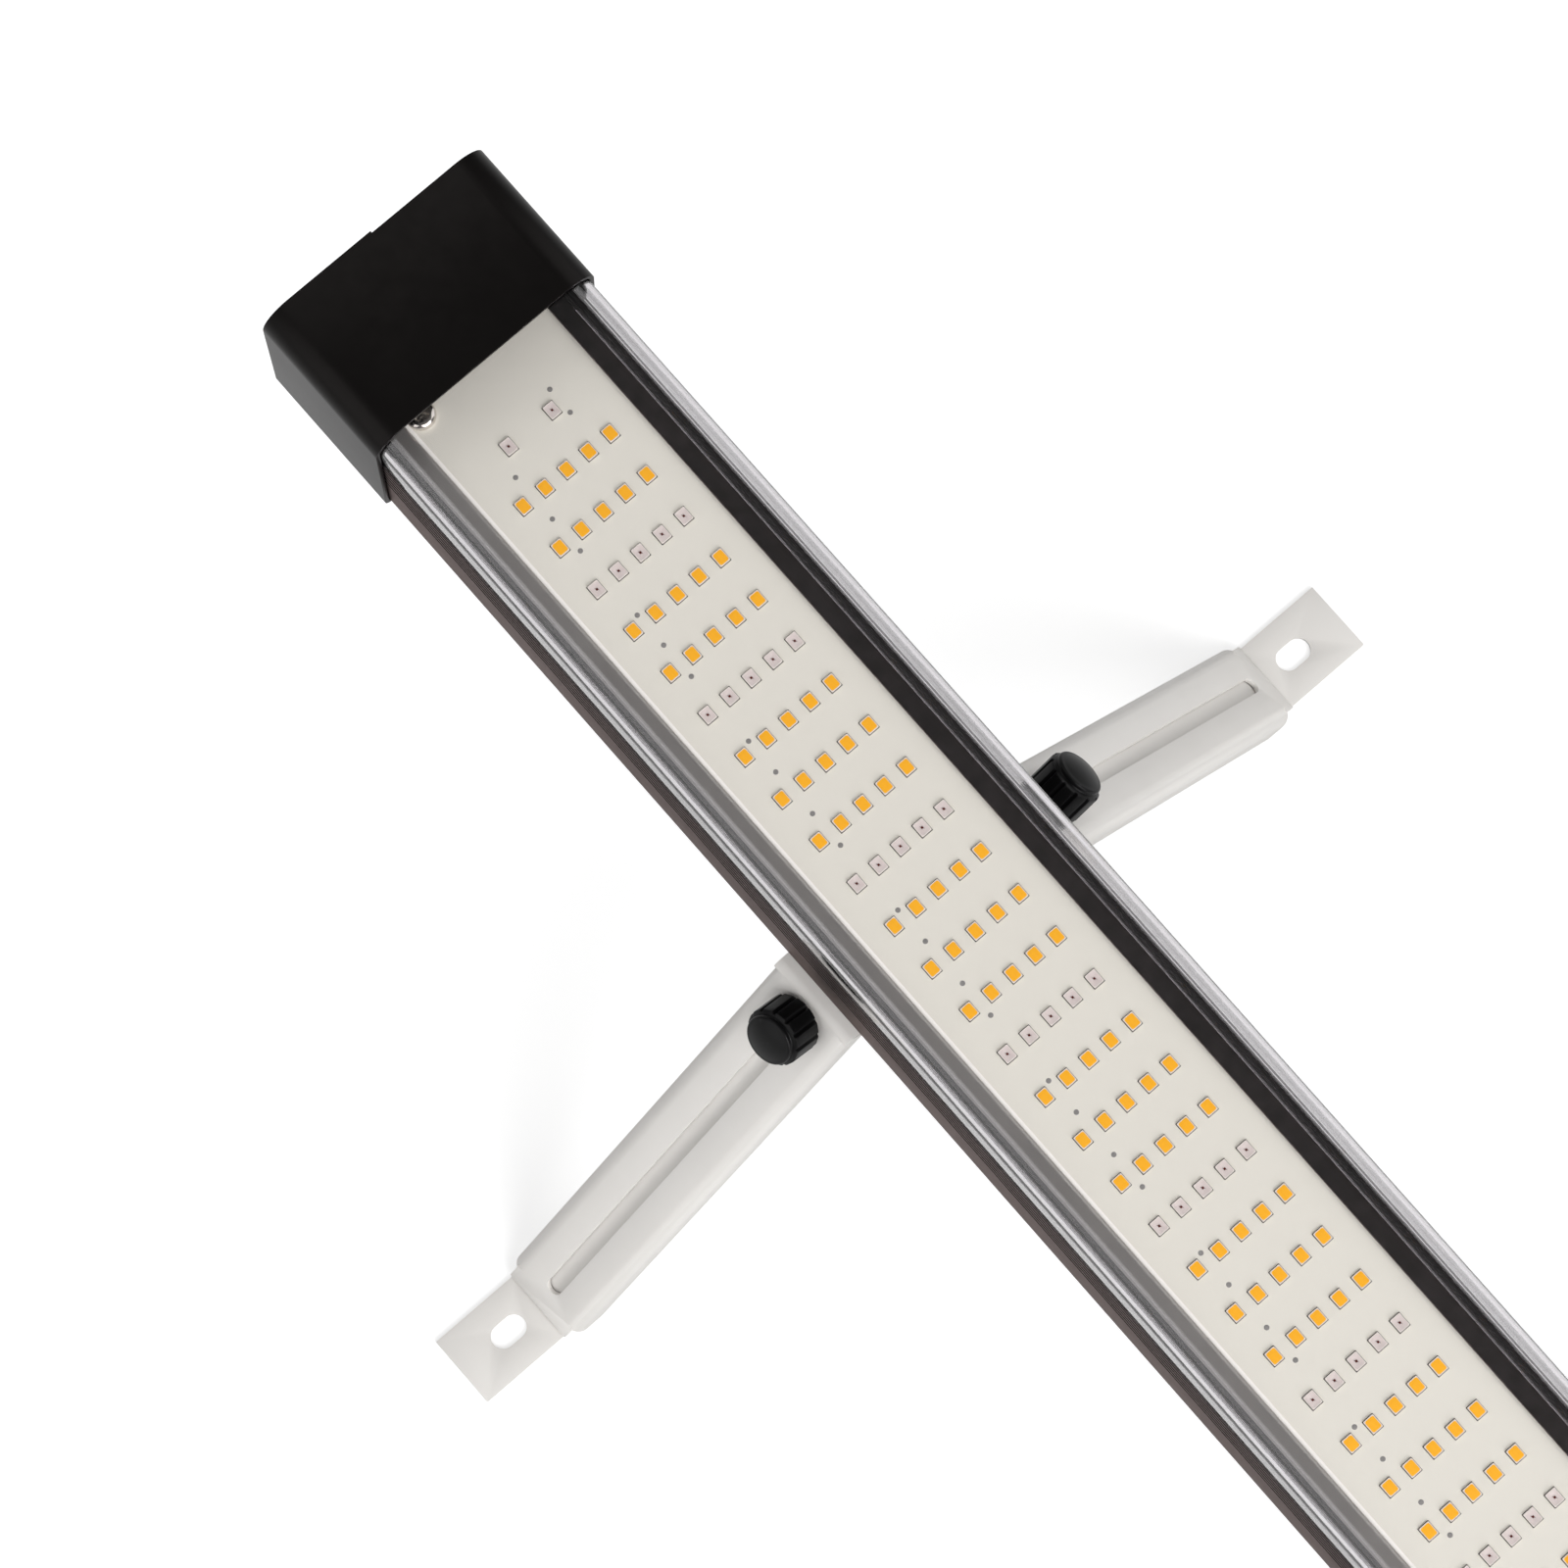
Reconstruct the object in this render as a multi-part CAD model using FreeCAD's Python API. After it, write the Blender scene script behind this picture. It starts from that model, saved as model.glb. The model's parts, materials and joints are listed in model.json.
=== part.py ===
"""Clear-lens LED grow light bar on two telescoping A-frame brackets.

The bar lies along X and shines up (+Z).  Each bracket is a folded sheet whose two slotted wings slope
down and out; a leg slides inside each wing, and a knob clamps it.  The four foot tabs stand on z = 0,
and the origin is under the middle of the bar.  Millimetres.
"""
import FreeCAD, Part
import math
import os

Vector = FreeCAD.Vector
X_AXIS = Vector(1, 0, 0)
Z_AXIS = Vector(0, 0, 1)
SAME_POINT = 1e-6            # points nearer than this are one point

# ---- overall ----
cap_end_x = 304.6            # middle of the bar to the end face of a cap
cap_step = 0.5               # one half of each end face stands this much further out
led_plane_z = 162.0          # emitting side of the LED board, above the floor
sheet = 1.2                  # bracket and leg steel

# ---- housing extrusion ----
housing_half_length = 302.0
housing_half_width = 30.6
housing_depth = 32.8         # LED plane to the back
housing_corner = 1.5
side_wall = 1.6
back_wall = 1.8
board_thickness = 1.6
shelf = 2.0                  # web that carries the board
ridge_count = 5              # fine square grooves along each side, just under the lens
ridge_pitch = 3.2
ridge_first = 1.7
ridge_depth = 0.7
ridge_height = 1.7
lip_inner_y = 21.0           # board-retaining lip
lip_outer_y = 26.2
lip_thickness = 1.2
lip_gap = 0.15               # running gap between lip and board, and lip and lens foot
board_half_width = 22.4
lens_groove_y = 28.9         # outer wall of the groove that takes the lens hook
lens_groove_depth = 3.0
groove_floor = 2.0
catch_y = 28.4               # catch bead over the hook
catch_depth = 1.5
port_radius = 3.5            # screw ports for the cap screws
port_bore = 1.5
port_bite = 0.8              # the ports run this far into the walls
tee_half_block = 7.5         # T-slot in the back for the bracket's slide nuts
tee_half_width = 5.5
tee_half_mouth = 3.1
tee_depth = 4.2
tee_roof = 1.6
wire_hole_radius = 4.5
wire_hole_x = 276.0

# ---- lens ----
lens_half_width = 30.3
lens_front = 17.3            # above the LED plane
lens_wall = 1.3
lens_corner = 6.3
lens_foot_inner_y = 25.2
hook_inner_y = 27.0
hook_outer_y = 28.1
hook_barb_y = 28.7
hook_end = 2.6               # below the LED plane
hook_barb_height = 0.9

# ---- LED board ----
board_half_length = 281.5
led_rows = 39
led_row_pitch = 12.565
led_column_pitch = 6.4
led_columns = 5
led_length = 3.5             # standard package, along the bar
led_width = 2.8
led_height = 0.7
window_length = 3.0
window_width = 2.4
window_depth = 0.25
red_rows = (2, 5, 9, 13, 17, 21, 25, 29, 33, 36)
chip_size = 0.7
chip_height = 0.15
board_screw_x = 269.7
board_screw_y = 16.6
board_screw_bore = 1.6
board_screw_head = 3.6
board_screw_head_height = 2.2
board_screw_head_round = 1.3
board_screw_length = 6.0

# ---- end caps ----
cap_length = 38.4
cap_wall = 1.1
cap_clearance = 0.2
cap_front_clearance = 0.3
cap_front_corner = 7.7
cap_back_corner = 2.6
cap_end_wall = 1.8
gasket_thickness = 0.8
gasket_band = 2.4
cap_screw_radius = 1.45
cap_screw_length = 14.0
cap_screw_head = 2.8
cap_screw_head_height = 1.0
cap_screw_clearance = 1.7

# ---- power inlet, in the cap at +X ----
inlet_half_width = 10.0
inlet_half_height = 4.7
inlet_flange = 2.0           # flange stands this far past the nose all round
inlet_flange_thickness = 1.6
inlet_depth = 20.0
inlet_below_led_plane = 17.0
inlet_fit = 0.1
socket_half_width = 8.6
socket_radius = 3.6
socket_depth = 13.0
pin_radius = 1.2
pin_half_spacing = 4.3
pin_length = 9.5
pin_tail = 5.0
pin_fit = 0.02

# ---- driver ----
driver_start_x = 96.0
driver_end_x = 246.0
driver_half_width = 17.0
driver_board_z = 23.0        # top of the driver board, below the LED plane
driver_board_thickness = 1.6
tray_thickness = 0.6
tray_gap = 1.0
tray_half_width = 19.0
tray_height = 12.0
transformer_x = 70.0         # places on the driver board are measured from its start
core_size = (20.0, 22.0, 11.0)
core_window = (12.0, 24.0, 8.0)
core_window_lift = 1.5
winding_clearance = 0.2
winding_length = 20.0
capacitors = ((14.0, 5.0, 16.0), (34.0, 4.0, 12.0), (112.0, 5.0, 18.0))  # place, radius, length
choke_x = 134.0
choke_ring = 4.0
choke_turn = 2.1
choke_lift = 0.1
heat_sink_x = 92.0
heat_sink_base = (12.0, 20.0, 2.0)
fin_offsets = (-5.0, 0.0, 5.0)
fin_thickness = 1.2
fin_height = 11.0
lead_radius = 0.8
lead_spacing = 4.0
lead_bend = 5.0
lead_stand = 1.0             # height of a lead over the driver board
mains_lead_straight = 12.0   # straight run behind the inlet
mains_lead_before = 6.0      # the lead levels out this far before the board's edge
mains_lead_onto = 5.0        # and ends this far onto it
led_lead_onto = 8.0

# ---- bracket ----
bracket_x = 115.4            # bracket centre from the middle of the bar
wing_angle = 55.8            # below the horizontal
wing_width = 24.4
wing_corner = 4.0
wing_flange = 8.0
flange_start = 1.4           # along the wing, measured from the plane of the bar's back
fold_overlap = 0.5           # the fold's straight end runs this far into the flanged part
flange_end_gap = 4.8         # flanges stop this far before the foot fold
flange_nick = 3.5
tongue_width = 20.4
tongue_gap = 1.4
foot_fold_y = 120.7          # where the wing's outer face meets the top of the foot
bend_radius = 3.0            # outside radius of the plate-to-wing bend
slot_half_width = 2.2
slot_end_gap = 9.35          # foot fold to the slot's lower end
slot_start_slack = 0.2
bracket_screw_spacing = 12.0
bracket_screw_radius = 2.0
bracket_screw_hole = 2.2
bracket_screw_head = 3.8
bracket_screw_head_height = 2.4
bracket_screw_reach = 4.6
slide_nut_half_length = 11.0
slide_nut_half_width = 4.8
slide_nut_height = 2.6

# ---- leg ----
leg_gap = 0.3                # wing to leg, all round
leg_half_width = 10.6
leg_flange = 4.6
leg_corner = 2.3
leg_start = 3.2
leg_flange_end_gap = 4.6
tab_half_width = 9.7
tab_end_y = 144.3
tab_bend = 1.0               # inside radius of the foot fold
tab_slot_y = 129.2
tab_slot_half_width = 3.1
tab_slot_length = 9.6

# ---- clamp knob ----
stud_along = 8.0             # stud centre along the wing
stud_radius = 2.0
stud_below = 7.4             # stud tip under the wing's outer face
stud_in_knob = 6.0
nut_bore = 2.05
nut_radius = 3.7
nut_height = 4.0
nut_shank = 2.95
nut_hole = 3.0
washer_radius = 5.6
washer_bore = 2.15
washer_thickness = 0.8
clamp_gap = 0.15             # washer to wing, and knob to washer
knob_radius = 7.2
knob_core = 6.6
knob_height = 10.0
knob_pad_count = 12
knob_pad_top = 8.2
knob_dome = 0.9
knob_pad_share = 0.7         # part of the pitch that a pad covers
knob_chamfer = 0.8

back_z = led_plane_z - housing_depth
shelf_top_z = led_plane_z - board_thickness
shelf_bottom_z = shelf_top_z - shelf
bay_floor_z = back_z + back_wall
wing_slope = math.radians(wing_angle)
wing_length = (back_z - sheet) / math.sin(wing_slope)
wing_top_y = foot_fold_y - (back_z - sheet) / math.tan(wing_slope)
port_y = housing_half_width - side_wall - port_radius + port_bite
port_heights = (shelf_bottom_z - port_radius + port_bite, bay_floor_z + port_radius - port_bite)
inlet_z = led_plane_z - inlet_below_led_plane
SIDES = {"left": -1, "right": 1}
ENDS = {"near": -1, "far": 1}


# ---- helpers ----
def block(x_range, y_range, z_range):
    """Box from three (low, high) pairs."""
    low = Vector(x_range[0], y_range[0], z_range[0])
    return Part.makeBox(x_range[1] - x_range[0], y_range[1] - y_range[0], z_range[1] - z_range[0], low)


def rod(start, direction, radius, length):
    """Cylinder from start along direction."""
    return Part.makeCylinder(radius, length, start, direction)


def rounded_path(points, radii, closed):
    """Straight runs through the points, with a tangent arc of the given radius at each corner."""
    count = len(points)
    starts, ends, arcs = [], [], []
    for index, corner in enumerate(points):
        radius = radii[index]
        at_tip = not closed and index in (0, count - 1)
        if at_tip or radius == 0:
            starts.append(corner)
            ends.append(corner)
            arcs.append(None)
            continue
        back = (points[index - 1] - corner).normalize()
        ahead = (points[(index + 1) % count] - corner).normalize()
        half_angle = back.getAngle(ahead) / 2
        reach = radius / math.tan(half_angle)
        centre_way = (back + ahead).normalize()
        to_centre = radius / math.sin(half_angle)
        starts.append(corner + back * reach)
        ends.append(corner + ahead * reach)
        arcs.append(corner + centre_way * (to_centre - radius))
    edges = []
    for index in range(count):
        if arcs[index] is not None:
            edges.append(Part.Arc(starts[index], arcs[index], ends[index]).toShape())
        if closed or index < count - 1:
            run_end = starts[(index + 1) % count]
            if ends[index].distanceToPoint(run_end) > SAME_POINT:
                edges.append(Part.LineSegment(ends[index], run_end).toShape())
    return Part.Wire(edges)


def prism(points, radii, along):
    """Solid swept from a closed flat outline."""
    return Part.Face(rounded_path(points, radii, True)).extrude(along)


def bar_prism(outline, radii, x_low, x_high):
    """Prism along the bar from (y, z) points."""
    points = [Vector(x_low, y, z) for y, z in outline]
    return prism(points, radii, Vector(x_high - x_low, 0, 0))


def rounded_bar(half_width, low_z, high_z, low_corner, high_corner, x_low, x_high):
    """Rounded rectangle swept along the bar."""
    outline = [(-half_width, low_z), (half_width, low_z), (half_width, high_z), (-half_width, high_z)]
    return bar_prism(outline, [low_corner, low_corner, high_corner, high_corner], x_low, x_high)


def mirrored_pair(solid):
    """The solid and its mirror image across the bar's centre plane."""
    return [solid, solid.mirror(Vector(0, 0, 0), Vector(0, 1, 0))]


def slot_cutter(centre, along, half_width, total_length, depth_way):
    """Round-ended slot, swept from its centre plane both ways along depth_way."""
    along = Vector(along).normalize()
    across = depth_way.cross(along).normalize() * half_width
    run = along * (total_length / 2 - half_width)
    tip = along * (total_length / 2)
    base = centre - depth_way
    edges = [
        Part.LineSegment(base - run + across, base + run + across).toShape(),
        Part.Arc(base + run + across, base + tip, base + run - across).toShape(),
        Part.LineSegment(base + run - across, base - run - across).toShape(),
        Part.Arc(base - run - across, base - tip, base - run + across).toShape(),
    ]
    return Part.Face(Part.Wire(edges)).extrude(depth_way * 2)


# ---- the bar ----
def housing():
    """Black extrusion: driver bay, board shelf with lips, lens grooves, T-slot and screw ports."""
    low, high = -housing_half_length, housing_half_length
    outer = rounded_bar(housing_half_width, back_z, led_plane_z, housing_corner, 0.0, low, high)
    inner_y = housing_half_width - side_wall
    bay = block((low, high), (-inner_y, inner_y), (bay_floor_z, shelf_bottom_z))
    tee_top = back_z + back_wall + tee_depth
    tee_block = block((low, high), (-tee_half_block, tee_half_block), (bay_floor_z, tee_top + tee_roof))
    bay = bay.cut(tee_block)
    for solid in mirrored_pair(groove_thickening(low, high)):
        bay = bay.cut(solid)
    for port_z in port_heights:
        for side in SIDES.values():
            bay = bay.cut(rod(Vector(low, side * port_y, port_z), X_AXIS, port_radius, high - low))
    body = outer.cut(bay)
    body = body.cut(block((low, high), (-board_half_width, board_half_width), (shelf_top_z, led_plane_z)))
    for solid in mirrored_pair(lip(low, high)):
        body = body.fuse(solid)
    for solid in mirrored_pair(lens_groove(low, high)):
        body = body.cut(solid)
    body = body.cut(block((low, high), (-tee_half_width, tee_half_width), (bay_floor_z, tee_top)))
    body = body.cut(block((low, high), (-tee_half_mouth, tee_half_mouth), (back_z, bay_floor_z)))
    for port_z in port_heights:
        for side in SIDES.values():
            body = body.cut(rod(Vector(low, side * port_y, port_z), X_AXIS, port_bore, high - low))
    for index in range(ridge_count):
        for solid in mirrored_pair(ridge_groove(index, low, high)):
            body = body.cut(solid)
    hole_foot = Vector(wire_hole_x, 0, shelf_bottom_z)
    body = body.cut(rod(hole_foot, Z_AXIS, wire_hole_radius, shelf))
    for side in SIDES.values():
        pilot = Vector(side * board_screw_x, side * board_screw_y, shelf_bottom_z)
        body = body.cut(rod(pilot, Z_AXIS, board_screw_bore, shelf))
    return body.removeSplitter()


def groove_thickening(low, high):
    """Extra metal under the lens groove."""
    floor_z = led_plane_z - lens_groove_depth - groove_floor
    return block((low, high), (lip_outer_y - groove_floor, housing_half_width), (floor_z, shelf_bottom_z))


def lip(low, high):
    """Lip that holds one edge of the board down."""
    foot_top_z = led_plane_z + lip_gap
    foot = block((low, high), (board_half_width + lip_gap, lip_outer_y), (shelf_top_z, foot_top_z))
    top_z = foot_top_z + lip_thickness
    shelf_over = block((low, high), (lip_inner_y, lip_outer_y), (foot_top_z, top_z))
    return foot.fuse(shelf_over)


def lens_groove(low, high):
    """Space for the lens hook, with a catch bead at its mouth."""
    floor_z = led_plane_z - lens_groove_depth
    wide = block((low, high), (lip_outer_y, lens_groove_y), (floor_z, led_plane_z - catch_depth))
    mouth = block((low, high), (lip_outer_y, catch_y), (led_plane_z - catch_depth, led_plane_z))
    return wide.fuse(mouth)


def ridge_groove(index, low, high):
    """One square groove of the ribbed band on the housing's side."""
    centre_z = led_plane_z - ridge_first - index * ridge_pitch
    z_range = (centre_z - ridge_height / 2, centre_z + ridge_height / 2)
    return block((low, high), (housing_half_width - ridge_depth, housing_half_width), z_range)


def lens_cover():
    """Clear cover: flat front, round corners, feet over the lips and hooks in the grooves."""
    low, high = -housing_half_length, housing_half_length
    foot_z = led_plane_z + lip_gap
    rail_z = foot_z + lip_thickness + lip_gap
    front_z = led_plane_z + lens_front
    shell = rounded_bar(lens_half_width, foot_z, front_z, 0.0, lens_corner, low, high)
    inner_y = lens_half_width - lens_wall
    inner_corner = lens_corner - lens_wall
    hollow = rounded_bar(inner_y, rail_z + lens_wall, front_z - lens_wall, 0.0, inner_corner, low, high)
    cover = shell.cut(hollow)
    foot_span = (-lens_foot_inner_y, lens_foot_inner_y)
    cover = cover.cut(block((low, high), foot_span, (foot_z, rail_z + lens_wall)))
    cover = cover.cut(block((low, high), (-inner_y, inner_y), (foot_z, rail_z)))
    hook_low = led_plane_z - hook_end
    outline = [
        (hook_inner_y, rail_z + lens_wall / 2),
        (hook_inner_y, hook_low),
        (hook_outer_y, hook_low),
        (hook_barb_y, hook_low + hook_barb_height / 2),
        (hook_barb_y, hook_low + hook_barb_height),
        (hook_outer_y, hook_low + hook_barb_height),
        (hook_outer_y, rail_z + lens_wall / 2),
    ]
    for solid in mirrored_pair(bar_prism(outline, [0] * len(outline), low, high)):
        cover = cover.fuse(solid)
    return cover.removeSplitter()


def led_board():
    """Aluminium board with its two screw holes and the hole for the driver's leads."""
    y_range = (-board_half_width + lip_gap, board_half_width - lip_gap)
    board = block((-board_half_length, board_half_length), y_range, (shelf_top_z, led_plane_z))
    board = board.cut(rod(Vector(wire_hole_x, 0, shelf_top_z), Z_AXIS, wire_hole_radius, board_thickness))
    for side in SIDES.values():
        hole = Vector(side * board_screw_x, side * board_screw_y, shelf_top_z)
        board = board.cut(rod(hole, Z_AXIS, board_screw_bore + lip_gap, board_thickness))
    return board


def board_screws():
    """Two pan-head screws that hold the board to the shelf."""
    screws = []
    for side in SIDES.values():
        seat = Vector(side * board_screw_x, side * board_screw_y, led_plane_z)
        shank = rod(seat, Z_AXIS * -1, board_screw_bore - lip_gap / 2, board_screw_length)
        head = rod(seat, Z_AXIS, board_screw_head, board_screw_head_height)
        middle_z = seat.z + board_screw_head_height / 2
        top_edge = [edge for edge in head.Edges if edge.BoundBox.ZMin > middle_z]
        head = head.makeFillet(board_screw_head_round, top_edge[:1])
        screws.append(head.fuse(shank))
    return Part.makeCompound(screws)


def white_led_places():
    """Centres of the white packages, row by row."""
    return [place for row in range(led_rows) if row not in red_rows for place in row_places(row)]


def red_led_places():
    """Centres of the red packages: the red rows, and two lone ones past each end."""
    places = [place for row in red_rows for place in row_places(row)]
    lone_x = row_x(-1)
    for end in ENDS.values():
        for side in SIDES.values():
            places.append(Vector(end * lone_x, side * led_column_pitch, led_plane_z))
    return places


def row_x(row):
    """Place of a row along the bar."""
    return (row - (led_rows - 1) / 2) * led_row_pitch


def row_places(row):
    """Centres of one row's packages."""
    middle = (led_columns - 1) / 2
    columns = range(led_columns)
    return [Vector(row_x(row), (column - middle) * led_column_pitch, led_plane_z) for column in columns]


def centred_block(length, width, low, high):
    """Box centred on the Z axis between two heights."""
    return block((-length / 2, length / 2), (-width / 2, width / 2), (low, high))


def repeated(solid, places):
    """Copies of a solid at each place."""
    return Part.makeCompound([solid.translated(place) for place in places])


def led_body():
    """One package body with its window pocket."""
    body = centred_block(led_length, led_width, 0, led_height)
    pocket = centred_block(window_length, window_width, led_height - window_depth, led_height)
    return body.cut(pocket)


def phosphor_window():
    """The filled window of a white package."""
    return centred_block(window_length, window_width, led_height - window_depth, led_height)


def red_chip():
    """The bare die in a red package."""
    pocket_floor = led_height - window_depth
    return centred_block(chip_size, chip_size, pocket_floor, pocket_floor + chip_height)


# ---- end caps ----
def end_cap(end):
    """Deep cap over one end of the bar, with a stepped end face and four screw holes."""
    rim_x = cap_end_x - cap_length
    half_width = housing_half_width + cap_clearance + cap_wall
    low_z = back_z - cap_clearance - cap_wall
    high_z = led_plane_z + lens_front + cap_front_clearance + cap_wall
    shell = rounded_bar(half_width, low_z, high_z, cap_back_corner, cap_front_corner, rim_x, cap_end_x)
    step = rounded_bar(half_width, low_z, high_z, cap_back_corner, cap_front_corner, cap_end_x,
                       cap_end_x + cap_step)
    step = step.common(block((rim_x, cap_end_x + cap_step), (0, half_width), (low_z, high_z)))
    shell = shell.fuse(step)
    hollow = rounded_bar(half_width - cap_wall, low_z + cap_wall, high_z - cap_wall,
                         cap_back_corner - cap_wall, cap_front_corner - cap_wall,
                         rim_x, cap_end_x - cap_end_wall)
    cap = shell.cut(hollow)
    hole_depth = cap_end_wall + cap_step
    for port_z in port_heights:
        for side in SIDES.values():
            hole = Vector(cap_end_x - cap_end_wall, side * port_y, port_z)
            cap = cap.cut(rod(hole, X_AXIS, cap_screw_clearance, hole_depth))
            sink = Vector(cap_end_x - cap_screw_head_height, side * port_y, port_z)
            cap = cap.cut(rod(sink, X_AXIS, cap_screw_head + inlet_fit, hole_depth))
    if end == ENDS["far"]:
        cap = cap.cut(inlet_block(cap_end_x - cap_end_wall, cap_end_x + cap_step, inlet_fit))
        return cap.removeSplitter()
    return cap.removeSplitter().rotated(Vector(0, 0, 0), Z_AXIS, 180)


def inlet_block(x_low, x_high, margin):
    """Box with the inlet nose's outline, grown by a margin."""
    half_width = inlet_half_width + margin
    half_height = inlet_half_height + margin
    return block((x_low, x_high), (-half_width, half_width), (inlet_z - half_height, inlet_z + half_height))


def end_gasket(end):
    """Silicone band between the housing's end and the cap."""
    x_low = housing_half_length
    x_high = x_low + gasket_thickness
    half_width = housing_half_width - lip_gap
    outer = rounded_bar(half_width, back_z, led_plane_z, housing_corner, 0.0, x_low, x_high)
    inner = rounded_bar(half_width - gasket_band, back_z + gasket_band, led_plane_z - gasket_band,
                        housing_corner, 0.0, x_low, x_high)
    gasket = outer.cut(inner)
    for port_z in port_heights:
        for side in SIDES.values():
            hole = Vector(x_low, side * port_y, port_z)
            gasket = gasket.cut(rod(hole, X_AXIS, cap_screw_clearance, gasket_thickness))
    return gasket if end == ENDS["far"] else gasket.rotated(Vector(0, 0, 0), Z_AXIS, 180)


def cap_screws():
    """Eight countersunk-in-recess screws, four through each cap into the ports."""
    screws = []
    head_x = cap_end_x - cap_screw_head_height
    for end in ENDS.values():
        for port_z in port_heights:
            for side in SIDES.values():
                seat = Vector(end * head_x, side * port_y, port_z)
                head = rod(seat, X_AXIS * end, cap_screw_head, cap_screw_head_height)
                shank = rod(seat, X_AXIS * -end, cap_screw_radius, cap_screw_length)
                screws.append(head.fuse(shank))
    return Part.makeCompound(screws)


def power_inlet():
    """Two-pole recessed socket, held by its flange behind the cap's end wall."""
    wall_inside = cap_end_x - cap_end_wall
    back_x = cap_end_x - inlet_depth
    body = inlet_block(back_x, cap_end_x, 0)
    flange = inlet_block(wall_inside - inlet_flange_thickness, wall_inside, inlet_flange)
    body = body.fuse(flange)
    recess_x = cap_end_x - socket_depth / 2
    centre = Vector(recess_x, 0, inlet_z)
    reach = X_AXIS * (socket_depth / 2)
    recess = slot_cutter(centre, Vector(0, 1, 0), socket_radius, socket_half_width * 2, reach)
    body = body.cut(recess)
    for side in SIDES.values():
        tail = Vector(back_x, side * pin_half_spacing, inlet_z)
        body = body.cut(rod(tail, X_AXIS, pin_radius, inlet_depth - socket_depth))
    return body.removeSplitter()


def inlet_pins():
    """Round contact pins, from the lead tails to inside the recess."""
    pins = []
    back_x = cap_end_x - inlet_depth - pin_tail
    length = pin_tail + inlet_depth - socket_depth + pin_length
    for side in SIDES.values():
        start = Vector(back_x, side * pin_half_spacing, inlet_z)
        pins.append(rod(start, X_AXIS, pin_radius - pin_fit, length))
    return Part.makeCompound(pins)


# ---- driver ----
def driver_top_z():
    """Top face of the driver board."""
    return led_plane_z - driver_board_z + driver_board_thickness


def driver_board():
    """Fibreglass board of the driver."""
    y_range = (-driver_half_width, driver_half_width)
    top = driver_top_z()
    return block((driver_start_x, driver_end_x), y_range, (top - driver_board_thickness, top))


def insulation_tray():
    """Thin insulating trough under and beside the driver board."""
    floor = driver_top_z() - driver_board_thickness - tray_gap
    x_range = (driver_start_x - tray_gap, driver_end_x + tray_gap)
    z_range = (floor - tray_thickness, floor + tray_height)
    outer = block(x_range, (-tray_half_width, tray_half_width), z_range)
    inner_y = tray_half_width - tray_thickness
    return outer.cut(block(x_range, (-inner_y, inner_y), (floor, floor + tray_height)))


def on_driver(x, size, lift=0.0):
    """Box of (length, width, height) over the driver board's centre line."""
    length, width, height = size
    centre = Vector(driver_start_x + x, 0, driver_top_z())
    return centred_block(length, width, lift, lift + height).translated(centre)


def driver_transformer():
    """Ferrite core around a wound bobbin."""
    core = on_driver(transformer_x, core_size)
    return core.cut(on_driver(transformer_x, core_window, core_window_lift))


def transformer_winding():
    """Bobbin and winding in the core's window."""
    room = 2 * winding_clearance
    size = (core_window[0] - room, winding_length, core_window[2] - room)
    return on_driver(transformer_x, size, core_window_lift + winding_clearance)


def driver_capacitors():
    """Three electrolytic capacitors lying on the board."""
    cans = []
    for x, radius, length in capacitors:
        start = Vector(driver_start_x + x, -length / 2, driver_top_z() + radius)
        cans.append(rod(start, Vector(0, 1, 0), radius, length))
    return Part.makeCompound(cans)


def driver_choke():
    """Toroidal mains choke standing on the board."""
    centre = Vector(driver_start_x + choke_x, 0, driver_top_z() + choke_ring + choke_turn + choke_lift)
    return Part.makeTorus(choke_ring, choke_turn, centre, Vector(0, 1, 0))


def driver_heat_sink():
    """Finned heat sink for the switching transistor."""
    sink = on_driver(heat_sink_x, heat_sink_base)
    for offset in fin_offsets:
        sink = sink.fuse(on_driver(heat_sink_x + offset, (fin_thickness, heat_sink_base[1], fin_height)))
    return sink.removeSplitter()


def lead(points):
    """Insulated wire along a route with tangent bends."""
    path = rounded_path(points, [lead_bend] * len(points), False)
    start = points[0]
    way = (points[1] - points[0]).normalize()
    ring = Part.Wire(Part.makeCircle(lead_radius, start, way))
    return path.makePipeShell([ring], True, True)


def mains_leads():
    """Two wires from the inlet's tails to the driver board."""
    wires = []
    tail_x = cap_end_x - inlet_depth - pin_tail
    landing_z = driver_top_z() + lead_radius + lead_stand
    for side in SIDES.values():
        y = side * pin_half_spacing
        points = [Vector(tail_x, y, inlet_z), Vector(tail_x - mains_lead_straight, y, inlet_z),
                  Vector(driver_end_x + mains_lead_before, y, landing_z),
                  Vector(driver_end_x - mains_lead_onto, y, landing_z)]
        wires.append(lead(points))
    return Part.makeCompound(wires)


def led_leads():
    """Two wires from the driver board through the shelf to the end of the LED board."""
    wires = []
    low_z = shelf_bottom_z - lead_bend
    for side in SIDES.values():
        y = side * lead_spacing / 2
        points = [Vector(driver_end_x - led_lead_onto, y, low_z), Vector(wire_hole_x, y, low_z),
                  Vector(wire_hole_x, y, led_plane_z - board_thickness / 2)]
        wires.append(lead(points))
    return Part.makeCompound(wires)


# ---- bracket and legs, drawn for the right wing in the plane x = 0 ----
def wing_point(x, along, outward):
    """Point at x, a distance along the right wing and a height over its outer face."""
    y = wing_top_y + along * math.cos(wing_slope) + outward * math.sin(wing_slope)
    z = back_z - along * math.sin(wing_slope) + outward * math.cos(wing_slope)
    return Vector(x, y, z)


def wing_way():
    """Unit vector down the right wing."""
    return Vector(0, math.cos(wing_slope), -math.sin(wing_slope))


def wing_normal():
    """Unit vector out of the right wing's face."""
    return Vector(0, math.sin(wing_slope), math.cos(wing_slope))


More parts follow.
